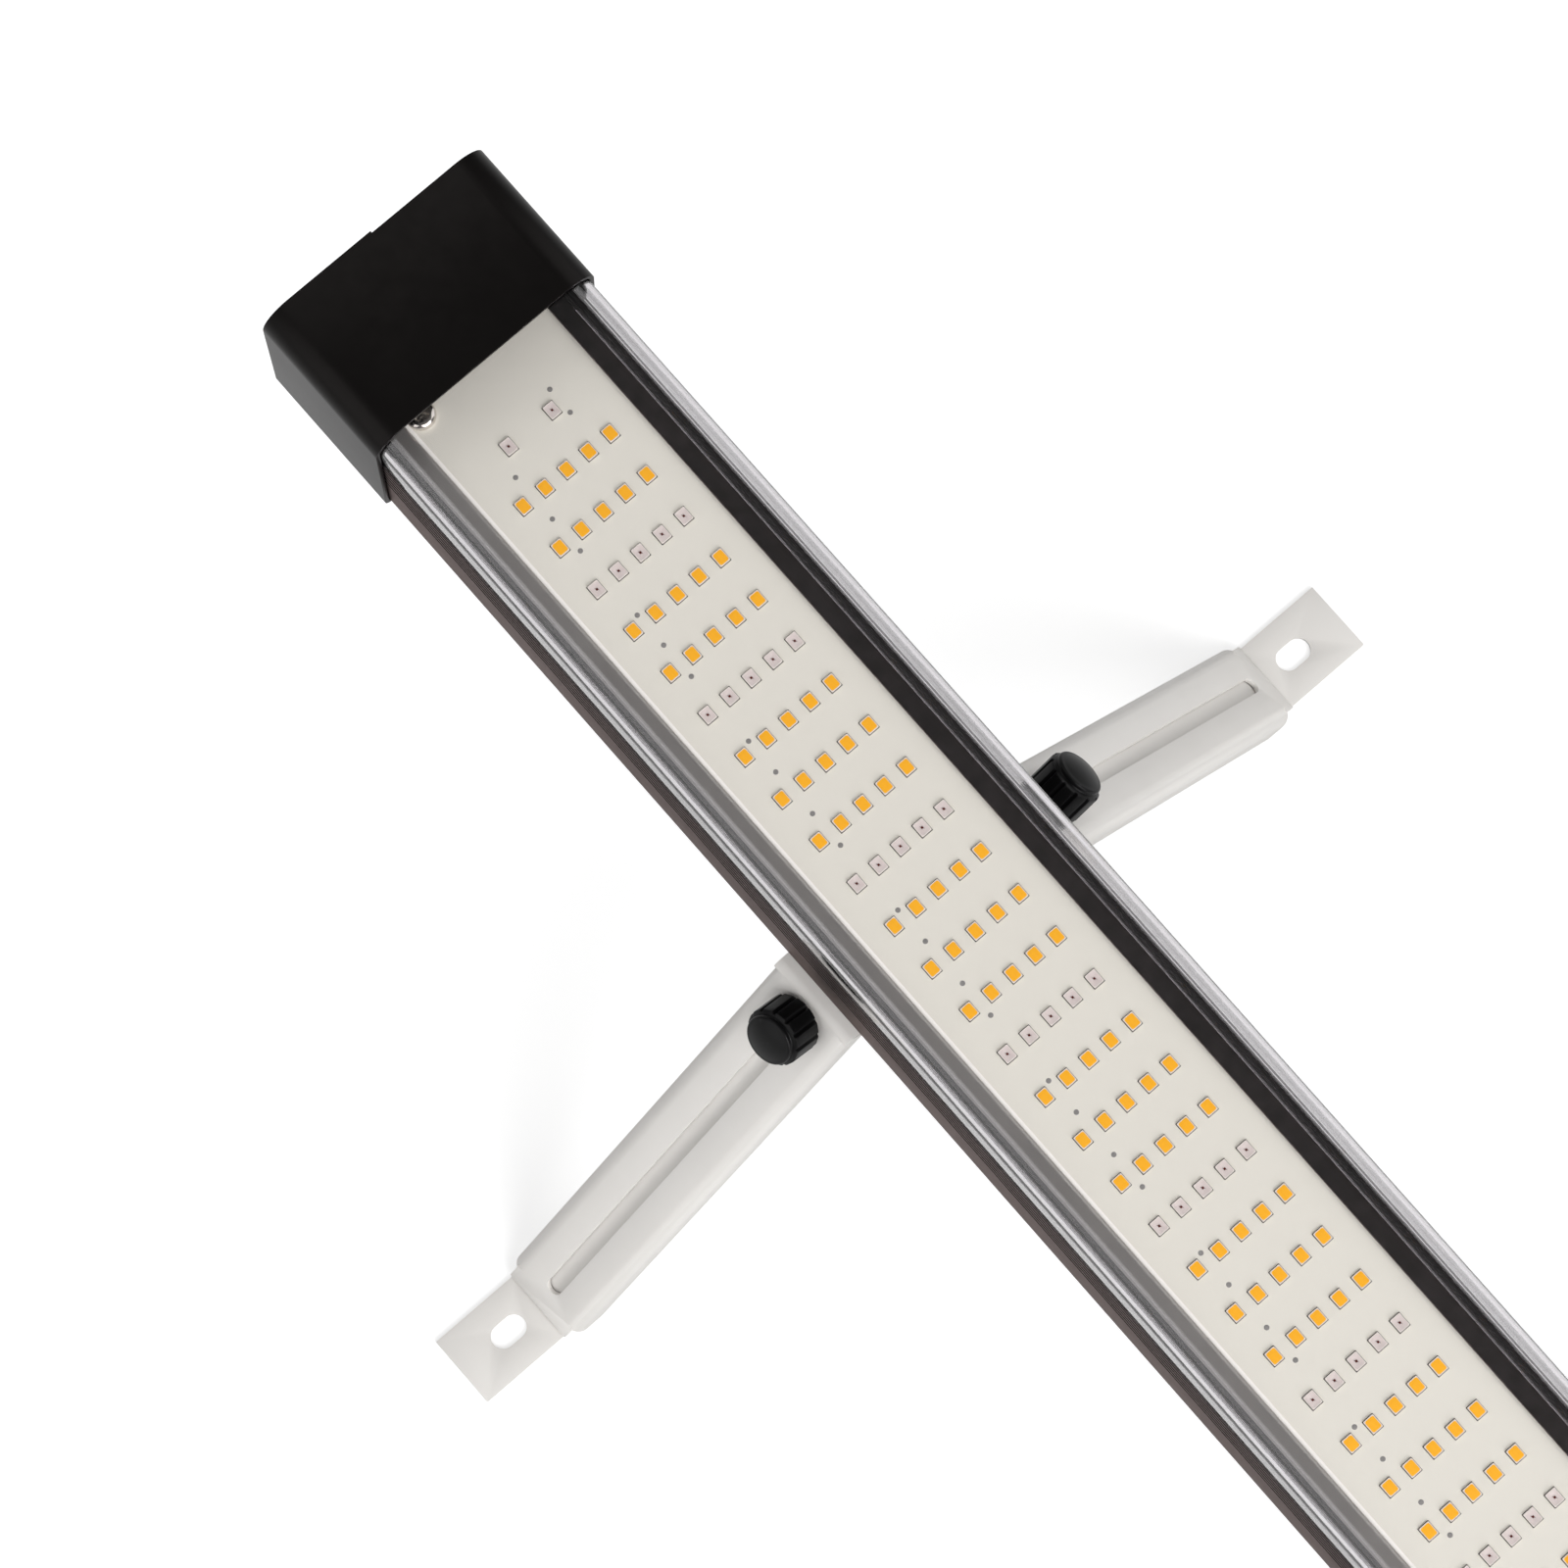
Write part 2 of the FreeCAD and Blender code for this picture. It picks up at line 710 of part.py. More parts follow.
def channel(half_width, top, depth, corner, start, end):
    """Channel of bracket sheet along the wing; top is its web's height over the wing's outer face."""
    inner = half_width - sheet
    outline = [(-half_width, top - depth), (-half_width, top), (half_width, top), (half_width, top - depth),
               (inner, top - depth), (inner, top - sheet), (-inner, top - sheet), (-inner, top - depth)]
    radii = [0, corner, corner, 0, 0, corner - sheet, corner - sheet, 0]
    points = [wing_point(x, start, outward) for x, outward in outline]
    return prism(points, radii, wing_way() * (end - start))


def wing_block(half_width, start, end, low, high):
    """Box in the wing's own directions."""
    points = [wing_point(-half_width, start, low), wing_point(half_width, start, low),
              wing_point(half_width, end, low), wing_point(-half_width, end, low)]
    return prism(points, [0, 0, 0, 0], wing_normal() * (high - low))


def bracket():
    """Folded sheet: a plate against the bar's back and two slotted, flanged wings."""
    start_x = -wing_width / 2
    reach = flange_start + fold_overlap
    outer = [wing_point(start_x, 0, 0), wing_point(start_x, reach, 0), wing_point(start_x, reach, -sheet)]
    inner_y = wing_top_y - sheet * math.tan(wing_slope / 2)
    inner = Vector(start_x, inner_y, back_z - sheet)
    right_side = [outer[0], outer[1], outer[2], inner]
    left_side = [Vector(point.x, -point.y, point.z) for point in reversed(right_side)]
    fold_radii = [bend_radius, 0, 0, bend_radius - sheet]
    folded = prism(right_side + left_side, fold_radii + fold_radii[::-1], Vector(wing_width, 0, 0))
    wing = slotted_wing()
    slotted = folded.fuse(mirrored_pair(wing)).cut(mirrored_pair(wing_slot()))
    return slotted.cut(screw_holes()).removeSplitter()


def slotted_wing():
    """One wing's channel, its nicked flanges and the tongue that reaches the foot."""
    flange_end = wing_length - flange_end_gap
    wing = channel(wing_width / 2, 0, wing_flange, wing_corner, flange_start, flange_end)
    nick = [wing_point(-wing_width, flange_end - flange_nick, -wing_flange),
            wing_point(-wing_width, flange_end, -wing_flange + flange_nick),
            wing_point(-wing_width, flange_end, -wing_flange)]
    wing = wing.cut(prism(nick, [0, 0, 0], Vector(wing_width * 2, 0, 0)))
    tongue = wing_block(tongue_width / 2, flange_end - sheet, wing_length - tongue_gap, -sheet, 0)
    return wing.fuse(tongue)


def wing_slot():
    """Cutter for the long slot that the stud slides in."""
    start = stud_along - slot_half_width - slot_start_slack
    end = wing_length - slot_end_gap
    centre = wing_point(0, (start + end) / 2, -sheet / 2)
    return slot_cutter(centre, wing_way(), slot_half_width, end - start, wing_normal() * sheet)


def screw_holes():
    """Two holes in the plate for the bracket screws."""
    holes = []
    for side in SIDES.values():
        foot = Vector(side * bracket_screw_spacing / 2, 0, back_z - sheet)
        holes.append(rod(foot, Z_AXIS, bracket_screw_hole, sheet))
    return holes


def bracket_screws():
    """Pan-head screws that pull each plate up against the slide nuts."""
    screws = []
    for end in ENDS.values():
        for side in SIDES.values():
            seat = Vector(end * bracket_x + side * bracket_screw_spacing / 2, 0, back_z - sheet)
            head = rod(seat, Z_AXIS * -1, bracket_screw_head, bracket_screw_head_height)
            shank = rod(seat, Z_AXIS, bracket_screw_radius, sheet + bracket_screw_reach)
            screws.append(head.fuse(shank))
    return Part.makeCompound(screws)


def slide_nuts():
    """Nut bars in the T-slot, one over each bracket."""
    nuts = []
    low = bay_floor_z + lip_gap
    for end in ENDS.values():
        x = end * bracket_x
        x_range = (x - slide_nut_half_length, x + slide_nut_half_length)
        nut = block(x_range, (-slide_nut_half_width, slide_nut_half_width), (low, low + slide_nut_height))
        for side in SIDES.values():
            foot = Vector(x + side * bracket_screw_spacing / 2, 0, low)
            nut = nut.cut(rod(foot, Z_AXIS, bracket_screw_radius, slide_nut_height))
        nuts.append(nut)
    return Part.makeCompound(nuts)


def leg():
    """Sliding leg: a shallow channel that folds out into a slotted foot tab."""
    top = -sheet - leg_gap
    web_top_y = wing_top_y + top / math.sin(wing_slope)
    fold_y = web_top_y + (back_z - sheet) / math.tan(wing_slope)
    flange_end = wing_length - leg_flange_end_gap
    body = channel(leg_half_width, top, leg_flange, leg_corner, leg_start, flange_end)
    low_y = fold_y - sheet * math.tan(wing_slope / 2)
    low_start = wing_point(0, flange_end, top - sheet)
    high_start = wing_point(0, flange_end, top)
    outline = [high_start, Vector(0, fold_y, sheet), Vector(0, tab_end_y, sheet),
               Vector(0, tab_end_y, 0), Vector(0, low_y, 0), low_start]
    points = [point - Vector(tab_half_width, 0, 0) for point in outline]
    foot = prism(points, [0, tab_bend, 0, 0, tab_bend + sheet, 0], Vector(tab_half_width * 2, 0, 0))
    body = body.fuse(foot)
    hole = wing_point(0, stud_along, top - sheet)
    body = body.cut(rod(hole, wing_normal(), nut_hole, sheet))
    centre = Vector(0, tab_slot_y, sheet / 2)
    tab_slot = slot_cutter(centre, Vector(0, 1, 0), tab_slot_half_width, tab_slot_length, Z_AXIS * sheet)
    body = body.cut(tab_slot)
    return body.removeSplitter()


def clinch_nut():
    """Threaded insert set in the leg's web, under the knob."""
    web_under = -sheet - leg_gap - sheet
    body = rod(wing_point(0, stud_along, web_under), wing_normal() * -1, nut_radius, nut_height)
    shank = rod(wing_point(0, stud_along, web_under), wing_normal(), nut_shank, sheet - lip_gap)
    nut = body.fuse(shank)
    bore_start = wing_point(0, stud_along, web_under - nut_height)
    bore = rod(bore_start, wing_normal(), nut_bore, nut_height + sheet)
    return nut.cut(bore)


def knob_stud():
    """Steel stud moulded into the knob."""
    start = wing_point(0, stud_along, -stud_below)
    length = stud_below + knob_base() + stud_in_knob
    return rod(start, wing_normal(), stud_radius, length)


def knob_base():
    """Height of the knob's underside over the wing's outer face."""
    return clamp_gap + washer_thickness + clamp_gap


def knob_washer():
    """Flat washer under the knob."""
    base = wing_point(0, stud_along, clamp_gap)
    ring = rod(base, wing_normal(), washer_radius, washer_thickness)
    return ring.cut(rod(base, wing_normal(), washer_bore, washer_thickness))


def knob():
    """Moulded knob: domed top, chamfered rim, and flat pads round its side."""
    profile = [Vector(0, 0, 0), Vector(knob_core, 0, 0), Vector(knob_core, 0, knob_height - knob_chamfer),
               Vector(knob_core - knob_chamfer, 0, knob_height), Vector(0, 0, knob_height)]
    body = Part.Face(Part.makePolygon(profile + profile[:1])).revolve(Vector(0, 0, 0), Z_AXIS, 360)
    dome_radius = knob_core - knob_chamfer
    ball_radius = (dome_radius ** 2 + knob_dome ** 2) / (2 * knob_dome)
    ball = Part.makeSphere(ball_radius, Vector(0, 0, knob_height + knob_dome - ball_radius))
    body = body.fuse(ball.common(rod(Vector(0, 0, knob_height), Z_AXIS, dome_radius, knob_dome)))
    pad_width = knob_radius * math.tau / knob_pad_count * knob_pad_share
    pad_depth = knob_radius - knob_core
    pad = block((knob_core - pad_depth, knob_radius), (-pad_width / 2, pad_width / 2), (0, knob_pad_top))
    for index in range(knob_pad_count):
        angle = 360 * index / knob_pad_count
        body = body.fuse(pad.rotated(Vector(0, 0, 0), Z_AXIS, angle))
    body = body.cut(rod(Vector(0, 0, 0), Z_AXIS, stud_radius, stud_in_knob)).removeSplitter()
    turn = FreeCAD.Rotation(Z_AXIS, wing_normal())
    body.Placement = FreeCAD.Placement(wing_point(0, stud_along, knob_base()), turn)
    return body


def placed(solid, end, side):
    """A right-hand leg piece moved to its bracket, and mirrored for a left wing."""
    if side < 0:
        solid = solid.mirror(Vector(0, 0, 0), Vector(0, 1, 0))
    return solid.translated(Vector(end * bracket_x, 0, 0))


def write(name, shape):
    """Write one node."""
    shape.exportStep(os.path.join("parts", name + ".step"))
    state = "valid" if shape.isValid() else "BAD"
    print(name, len(shape.Solids), "solid(s)", round(shape.Volume), "mm3", state)


def main():
    """Write every node."""
    os.makedirs("parts", exist_ok=True)
    write("housing", housing())
    write("lens_cover", lens_cover())
    write("led_board", led_board())
    write("board_screws", board_screws())
    write("white_led_bodies", repeated(led_body(), white_led_places()))
    write("white_led_phosphors", repeated(phosphor_window(), white_led_places()))
    write("red_led_bodies", repeated(led_body(), red_led_places()))
    write("red_led_chips", repeated(red_chip(), red_led_places()))
    for end_name, end in ENDS.items():
        write("end_cap_" + end_name, end_cap(end))
        write("end_gasket_" + end_name, end_gasket(end))
    write("cap_screws", cap_screws())
    write("power_inlet", power_inlet())
    write("inlet_pins", inlet_pins())
    write("driver_board", driver_board())
    write("insulation_tray", insulation_tray())
    write("driver_transformer", driver_transformer())
    write("transformer_winding", transformer_winding())
    write("driver_capacitors", driver_capacitors())
    write("driver_choke", driver_choke())
    write("driver_heat_sink", driver_heat_sink())
    write("mains_leads", mains_leads())
    write("led_leads", led_leads())
    write("bracket_screws", bracket_screws())
    write("slide_nuts", slide_nuts())
    centre_bracket = bracket()
    leg_pieces = {"leg": leg(), "clinch_nut": clinch_nut(), "stud": knob_stud(), "washer": knob_washer(),
                  "knob": knob()}
    for end_name, end in ENDS.items():
        write("bracket_" + end_name, centre_bracket.translated(Vector(end * bracket_x, 0, 0)))
        for side_name, side in SIDES.items():
            for piece_name, solid in leg_pieces.items():
                write(piece_name + "_" + end_name + "_" + side_name, placed(solid, end, side))


main()
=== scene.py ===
# %% [markdown]
# # A clear-lens grow light bar on telescoping brackets
#
# The real object is a black aluminium extrusion with a white LED board under a clear polycarbonate lens.
# Two folded sheet-metal brackets carry it, and a leg slides out of each bracket wing.  The CAD frame
# already holds every size, so this script only gives each piece its finish and its fine detail.
# The frame is loaded first, because every place below is read from it.

# %% Load the frame
import bpy
import bmesh
import json
import math
from mathutils import Matrix, Vector


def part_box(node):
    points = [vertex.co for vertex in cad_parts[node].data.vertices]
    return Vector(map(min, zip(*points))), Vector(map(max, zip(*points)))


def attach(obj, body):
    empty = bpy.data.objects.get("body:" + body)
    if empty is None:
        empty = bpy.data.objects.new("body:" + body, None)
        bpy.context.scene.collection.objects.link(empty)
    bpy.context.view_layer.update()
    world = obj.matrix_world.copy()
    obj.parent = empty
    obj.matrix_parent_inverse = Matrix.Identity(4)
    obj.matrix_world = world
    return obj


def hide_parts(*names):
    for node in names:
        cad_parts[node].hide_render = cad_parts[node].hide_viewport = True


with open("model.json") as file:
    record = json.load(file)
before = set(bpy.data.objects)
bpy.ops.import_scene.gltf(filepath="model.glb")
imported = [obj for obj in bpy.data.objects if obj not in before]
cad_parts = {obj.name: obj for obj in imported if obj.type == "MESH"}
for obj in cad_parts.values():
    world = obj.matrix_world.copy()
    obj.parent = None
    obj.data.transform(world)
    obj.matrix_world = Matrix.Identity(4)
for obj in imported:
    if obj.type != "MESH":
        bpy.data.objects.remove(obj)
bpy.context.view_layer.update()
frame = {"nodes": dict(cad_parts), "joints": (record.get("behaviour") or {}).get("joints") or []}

MM = 0.001

# %% [markdown]
# ## Sizes that everything else hangs on
#
# Two boxes of CAD nodes give the planes of the bar: the board's face and ends, and the lens's front,
# side and end.  Reading them keeps the visual pieces where the CAD has them, which matters because the
# caps, lens and board touch each other.  Shapes are worked out in millimetres and become metres last.

# %% Read the main planes
board_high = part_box("led_board")[1]
lens_low, lens_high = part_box("lens_cover")
board_z = board_high.z
board_plane = board_z / MM
print("LED plane at", round(board_plane, 2), "mm; lens front at", round(lens_high.z / MM, 2), "mm")

# %% [markdown]
# ## Camera
#
# The bar is seen almost straight down from far away with a long lens, so its sides barely show.  The
# camera is placed by its own position and two of its axes, which is simpler to keep exact than angles.

# %% Place the camera
CAMERA_FOCAL_MM = 137.97
CAMERA_SENSOR_MM = 36.0
CAMERA_REACH = 20.0
CAMERA_PLACE_MM = Vector((16.0, -183.7, 1472.1))
CAMERA_RIGHT = Vector((0.65677, 0.75394, 0.01507))
CAMERA_UP = Vector((-0.74333, 0.64389, 0.18129))


def make_camera():
    """A camera at the viewing place, from its right and up axes."""
    data = bpy.data.cameras.new("view_camera")
    data.lens = CAMERA_FOCAL_MM
    data.sensor_width = CAMERA_SENSOR_MM
    data.clip_end = CAMERA_REACH
    camera = bpy.data.objects.new("view_camera", data)
    bpy.context.scene.collection.objects.link(camera)
    right = CAMERA_RIGHT.normalized()
    back = right.cross(CAMERA_UP).normalized()
    up = back.cross(right)
    turn = Matrix((right, up, back)).transposed().to_4x4()
    camera.matrix_world = Matrix.Translation(CAMERA_PLACE_MM * MM) @ turn
    bpy.context.scene.camera = camera
    return camera


sight = make_camera().matrix_world.to_3x3() @ Vector((0, 0, -1))
print("camera looks along", tuple(round(part, 3) for part in sight))

# %% [markdown]
# ## Floor and light
#
# Black plastic shows whatever it reflects, so the light comes from four big soft boxes set well off to
# the sides, and the space overhead and at the horizon stays dim.  Faces that look at the camera are then
# deep black, while round corners catch a box.  The floor is plain, pale and a little bright itself, so
# the thin legs throw no hard shadow.  Upright walls of the lens mirror that pale floor, which draws
# their silvery bands; the glow is kept from matt surfaces, so they take their light from the boxes.

# %% Studio values
FLOOR_HALF = 6.0
FLOOR_DROP = 0.0001             # keeps the floor just clear of the feet
FLOOR_WHITE = 0.66
FLOOR_ROUGHNESS = 0.9
FLOOR_SHINE = 0.1
FLOOR_GLOW = 0.55               # as the camera sees it
MIRRORED_GLOW = 0.20            # as glossy and clear surfaces see it
SKY_LIGHT = 0.10
SKY_COLOUR = (1.0, 0.998, 0.995, 1)
BOX_SIZE = 1.8
SOFT_BOXES = {                  # place in metres, power in watts
    "left_box": ((-0.2, -1.55, 1.05), 12.5),
    "right_box": ((0.2, 1.55, 1.15), 12.5),
    "near_box": ((-1.6, 0.1, 1.4), 10.0),
    "far_box": ((1.6, -0.1, 1.4), 50.0),
}


def maths(tree, operation, first, second):
    """One maths node; each operand is a socket or a number."""
    node = tree.nodes.new("ShaderNodeMath")
    node.operation = operation
    for socket, value in zip(node.inputs, (first, second)):
        if isinstance(value, (int, float)):
            socket.default_value = value
        else:
            tree.links.new(value, socket)
    return node.outputs[0]


def make_floor():
    """Plain pale floor under the feet."""
    mesh = bpy.data.meshes.new("floor")
    corners = [(-1, -1), (1, -1), (1, 1), (-1, 1)]
    points = [(x * FLOOR_HALF, y * FLOOR_HALF, -FLOOR_DROP) for x, y in corners]
    mesh.from_pydata(points, [], [(0, 1, 2, 3)])
    floor = bpy.data.objects.new("floor", mesh)
    bpy.context.scene.collection.objects.link(floor)
    paint = bpy.data.materials.new("floor_paper")
    paint.use_nodes = True
    tree = paint.node_tree
    shader = tree.nodes["Principled BSDF"]
    shader.inputs["Base Color"].default_value = (FLOOR_WHITE, FLOOR_WHITE, FLOOR_WHITE, 1)
    shader.inputs["Roughness"].default_value = FLOOR_ROUGHNESS
    shader.inputs["Specular IOR Level"].default_value = FLOOR_SHINE
    shader.inputs["Emission Color"].default_value = (1, 1, 1, 1)
    ray = tree.nodes.new("ShaderNodeLightPath")
    mirrored = maths(tree, "SUBTRACT", 1.0, ray.outputs["Is Diffuse Ray"])
    seen = maths(tree, "MULTIPLY", ray.outputs["Is Camera Ray"], FLOOR_GLOW - MIRRORED_GLOW)
    faint = maths(tree, "MULTIPLY", mirrored, MIRRORED_GLOW)
    glow = maths(tree, "ADD", seen, faint)
    tree.links.new(glow, shader.inputs["Emission Strength"])
    mesh.materials.append(paint)


def make_sky():
    """Dim, even sky that looks white to the camera."""
    world = bpy.data.worlds.new("studio")
    bpy.context.scene.world = world
    world.use_nodes = True
    nodes, links = world.node_tree.nodes, world.node_tree.links
    ray = nodes.new("ShaderNodeLightPath")
    choice = nodes.new("ShaderNodeMapRange")
    choice.inputs["To Min"].default_value = SKY_LIGHT
    choice.inputs["To Max"].default_value = 1.0
    links.new(ray.outputs["Is Camera Ray"], choice.inputs["Value"])
    links.new(choice.outputs[0], nodes["Background"].inputs["Strength"])
    nodes["Background"].inputs["Color"].default_value = SKY_COLOUR


def make_lamp(name, place, watts):
    """Square soft box that looks at the middle of the bar."""
    data = bpy.data.lights.new(name, "AREA")
    data.size = BOX_SIZE
    data.energy = watts
    lamp = bpy.data.objects.new(name, data)
    lamp.location = place
    way = Vector((0, 0, board_z)) - Vector(place)
    lamp.rotation_euler = way.to_track_quat("-Z", "Y").to_euler()
    bpy.context.scene.collection.objects.link(lamp)


make_floor()
make_sky()
for name, (place, watts) in SOFT_BOXES.items():
    make_lamp(name, place, watts)
bpy.context.scene.view_settings.view_transform = "Standard"
print("floor, sky and", len(SOFT_BOXES), "soft boxes")

# %% [markdown]
# ## Shared surface effects
#
# Several finishes need the same few effects: slow colour mottle, smudges in the gloss, lines left by
# extrusion dies, the pebbled skin of moulded plastic and powder coat, and rubbed edges.  Each is a node
# group with named inputs, built once, so that a finish is only a shader and a choice of values.

# %% Node group helpers
def new_group(name, inputs, outputs):
    """Empty shader group with the named float or colour sockets; returns the tree and its end nodes."""
    kinds = {"float": "NodeSocketFloat", "colour": "NodeSocketColor"}
    tree = bpy.data.node_groups.new(name, "ShaderNodeTree")
    for socket_name, kind, default in inputs:
        socket = tree.interface.new_socket(name=socket_name, in_out="INPUT", socket_type=kinds[kind])
        socket.default_value = default
    for socket_name, kind in outputs:
        tree.interface.new_socket(name=socket_name, in_out="OUTPUT", socket_type=kinds[kind])
    return tree, tree.nodes.new("NodeGroupInput"), tree.nodes.new("NodeGroupOutput")


def noise_in(tree, scale_source, detail, stretch=(1.0, 1.0, 1.0)):
    """Noise in the object's own space inside a group, stretched along chosen axes."""
    place = tree.nodes.new("ShaderNodeTexCoord")
    mapping = tree.nodes.new("ShaderNodeMapping")
    mapping.inputs["Scale"].default_value = stretch
    noise = tree.nodes.new("ShaderNodeTexNoise")
    noise.inputs["Detail"].default_value = detail
    tree.links.new(place.outputs["Object"], mapping.inputs["Vector"])
    tree.links.new(mapping.outputs["Vector"], noise.inputs["Vector"])
    tree.links.new(scale_source, noise.inputs["Scale"])
    return noise.outputs["Fac"]


# %% Mottle: slow change between two colours
def make_mottle():
    """Blends two close colours by soft noise."""
    tree, start, end = new_group(
        "mottle",
        [("Scale", "float", 60.0), ("Light", "colour", (1, 1, 1, 1)), ("Dark", "colour", (0, 0, 0, 1))],
        [("Colour", "colour")],
    )
    mask = noise_in(tree, start.outputs["Scale"], detail=4.0)
    mix = tree.nodes.new("ShaderNodeMix")
    mix.data_type = "RGBA"
    tree.links.new(mask, mix.inputs["Factor"])
    tree.links.new(start.outputs["Dark"], mix.inputs["A"])
    tree.links.new(start.outputs["Light"], mix.inputs["B"])
    tree.links.new(mix.outputs["Result"], end.inputs["Colour"])
    return tree


# %% Smudge: uneven gloss from handling
def make_smudge():
    """Roughness that wanders round a middle value."""
    tree, start, end = new_group(
        "smudge",
        [("Scale", "float", 30.0), ("Roughness", "float", 0.4), ("Spread", "float", 0.1)],
        [("Roughness", "float")],
    )
    mask = noise_in(tree, start.outputs["Scale"], detail=6.0)
    swing = maths(tree, "MULTIPLY", maths(tree, "SUBTRACT", mask, 0.5), start.outputs["Spread"])
    tree.links.new(maths(tree, "ADD", start.outputs["Roughness"], swing), end.inputs["Roughness"])
    return tree


# %% Die lines: long scratches along the extrusion
DIE_LINE_STRETCH = (0.004, 1.0, 1.0)


def make_die_lines():
    """Fine lines that run along X."""
    tree, start, end = new_group("die_lines", [("Scale", "float", 900.0)], [("Height", "float")])
    lines = noise_in(tree, start.outputs["Scale"], detail=2.0, stretch=DIE_LINE_STRETCH)
    tree.links.new(lines, end.inputs["Height"])
    return tree


# %% Pebble: the skin of powder coat and moulded plastic
FINE_PEBBLE_SCALE = 3.1
FINE_PEBBLE_SHARE = 0.35


def make_pebble():
    """Small even bumps."""
    tree, start, end = new_group("pebble", [("Scale", "float", 1500.0)], [("Height", "float")])
    coarse = noise_in(tree, start.outputs["Scale"], detail=2.0)
    fine_scale = maths(tree, "MULTIPLY", start.outputs["Scale"], FINE_PEBBLE_SCALE)
    fine = noise_in(tree, fine_scale, detail=1.0)
    fine_part = maths(tree, "MULTIPLY", fine, FINE_PEBBLE_SHARE)
    tree.links.new(maths(tree, "ADD", coarse, fine_part), end.inputs["Height"])
    return tree


# %% Rub: paler edges
RUB_STARTS = 0.52               # pointiness; a flat place has 0.5
RUB_IS_FULL = 0.60


def make_rub():
    """Mask of the outside edges, broken up by noise."""
    tree, start, end = new_group(
        "rub",
        [("Amount", "float", 0.5), ("Scale", "float", 250.0)],
        [("Mask", "float")],
    )
    shape = tree.nodes.new("ShaderNodeNewGeometry")
    ramp = tree.nodes.new("ShaderNodeMapRange")
    ramp.inputs["From Min"].default_value = RUB_STARTS
    ramp.inputs["From Max"].default_value = RUB_IS_FULL
    tree.links.new(shape.outputs["Pointiness"], ramp.inputs["Value"])
    breaks = noise_in(tree, start.outputs["Scale"], detail=3.0)
    amount = maths(tree, "MULTIPLY", breaks, start.outputs["Amount"])
    tree.links.new(maths(tree, "MULTIPLY", ramp.outputs[0], amount), end.inputs["Mask"])
    return tree


GROUPS = {
    "mottle": make_mottle(), "smudge": make_smudge(), "die_lines": make_die_lines(),
    "pebble": make_pebble(), "rub": make_rub(),
}
print("node groups:", ", ".join(GROUPS))

# %% [markdown]
# ## Finishes
#
# One function makes every opaque finish: mottled colour, wandering roughness, rubbed edges and a bump
# from either die lines or pebble.  What is the same all over a surface, such as metalness or sheen, is
# typed straight into the shader.  Each finish then needs only the few values that make it what it is.

# %% The general finish
def placed_group(tree, name, **values):
    """A group node with constant values in its named inputs."""
    node = tree.nodes.new("ShaderNodeGroup")
    node.node_tree = GROUPS[name]
    for key, value in values.items():
        node.inputs[key.replace("_", " ").capitalize()].default_value = value
    return node


def finish(name, light, dark, roughness, spread, texture, texture_scale, depth_mm, metallic=0.0,
           mottle_scale=80.0, rubbed=0.0, rub_colour=(0.5, 0.5, 0.5), **constants):
    """Opaque procedural material; colours are linear RGB and depth is the bump's height in millimetres."""
    material = bpy.data.materials.new(name)
    material.use_nodes = True
    tree = material.node_tree
    shader = tree.nodes["Principled BSDF"]
    shader.inputs["Metallic"].default_value = metallic
    for key, value in constants.items():
        shader.inputs[key.replace("_", " ")].default_value = value
    mottle = placed_group(tree, "mottle", scale=mottle_scale, light=(*light, 1), dark=(*dark, 1))
    smudge = placed_group(tree, "smudge", roughness=roughness, spread=spread)
    skin = placed_group(tree, texture, scale=texture_scale)
    bump = tree.nodes.new("ShaderNodeBump")
    bump.inputs["Distance"].default_value = depth_mm * MM
    colour = mottle.outputs["Colour"]
    if rubbed:
        rub = placed_group(tree, "rub", amount=rubbed)
        mix = tree.nodes.new("ShaderNodeMix")
        mix.data_type = "RGBA"
        mix.inputs["B"].default_value = (*rub_colour, 1)
        tree.links.new(rub.outputs["Mask"], mix.inputs["Factor"])
        tree.links.new(colour, mix.inputs["A"])
        colour = mix.outputs["Result"]
    tree.links.new(colour, shader.inputs["Base Color"])
    tree.links.new(smudge.outputs["Roughness"], shader.inputs["Roughness"])
    tree.links.new(skin.outputs["Height"], bump.inputs["Height"])
    tree.links.new(bump.outputs["Normal"], shader.inputs["Normal"])
    return material


# %% [markdown]
# ### The outside of the bar
#
# Black anodising keeps the lines of the extrusion die and looks faintly brown in a bright room.  It is
# thin and lies on metal, so it is made as a very dark metal, whose tint also shows at a glancing angle.
# The caps are moulded with a fine satin skin.  The bracket steel is powder coated in a very light warm
# grey, which leaves tiny ripples.  The knobs are moulded in black too, with a slightly coarser skin.

# %% Outside finishes
anodised_black = finish("anodised_black", (0.020, 0.016, 0.015), (0.014, 0.0115, 0.0108), 0.42, 0.10,
                        "die_lines", 900.0, 0.008, rubbed=0.4, rub_colour=(0.10, 0.09, 0.09),
                        metallic=1.0, Specular_Tint=(0.88, 0.76, 0.74, 1))
cap_moulding = finish("cap_moulding", (0.0042, 0.0037, 0.0035), (0.0028, 0.0025, 0.0024), 0.34, 0.06,
                      "pebble", 2600.0, 0.005, rubbed=0.3, rub_colour=(0.02, 0.018, 0.017),
                      Specular_IOR_Level=0.12, Specular_Tint=(1.0, 0.93, 0.91, 1))
knob_moulding = finish("knob_moulding", (0.0055, 0.0055, 0.0058), (0.0035, 0.0035, 0.0037), 0.36, 0.10,
                       "pebble", 2200.0, 0.008, rubbed=0.5, rub_colour=(0.04, 0.04, 0.042),
                       Specular_IOR_Level=0.16)
inlet_moulding = finish("inlet_moulding", (0.010, 0.010, 0.010), (0.006, 0.006, 0.006), 0.45, 0.08,
                        "pebble", 1800.0, 0.010)
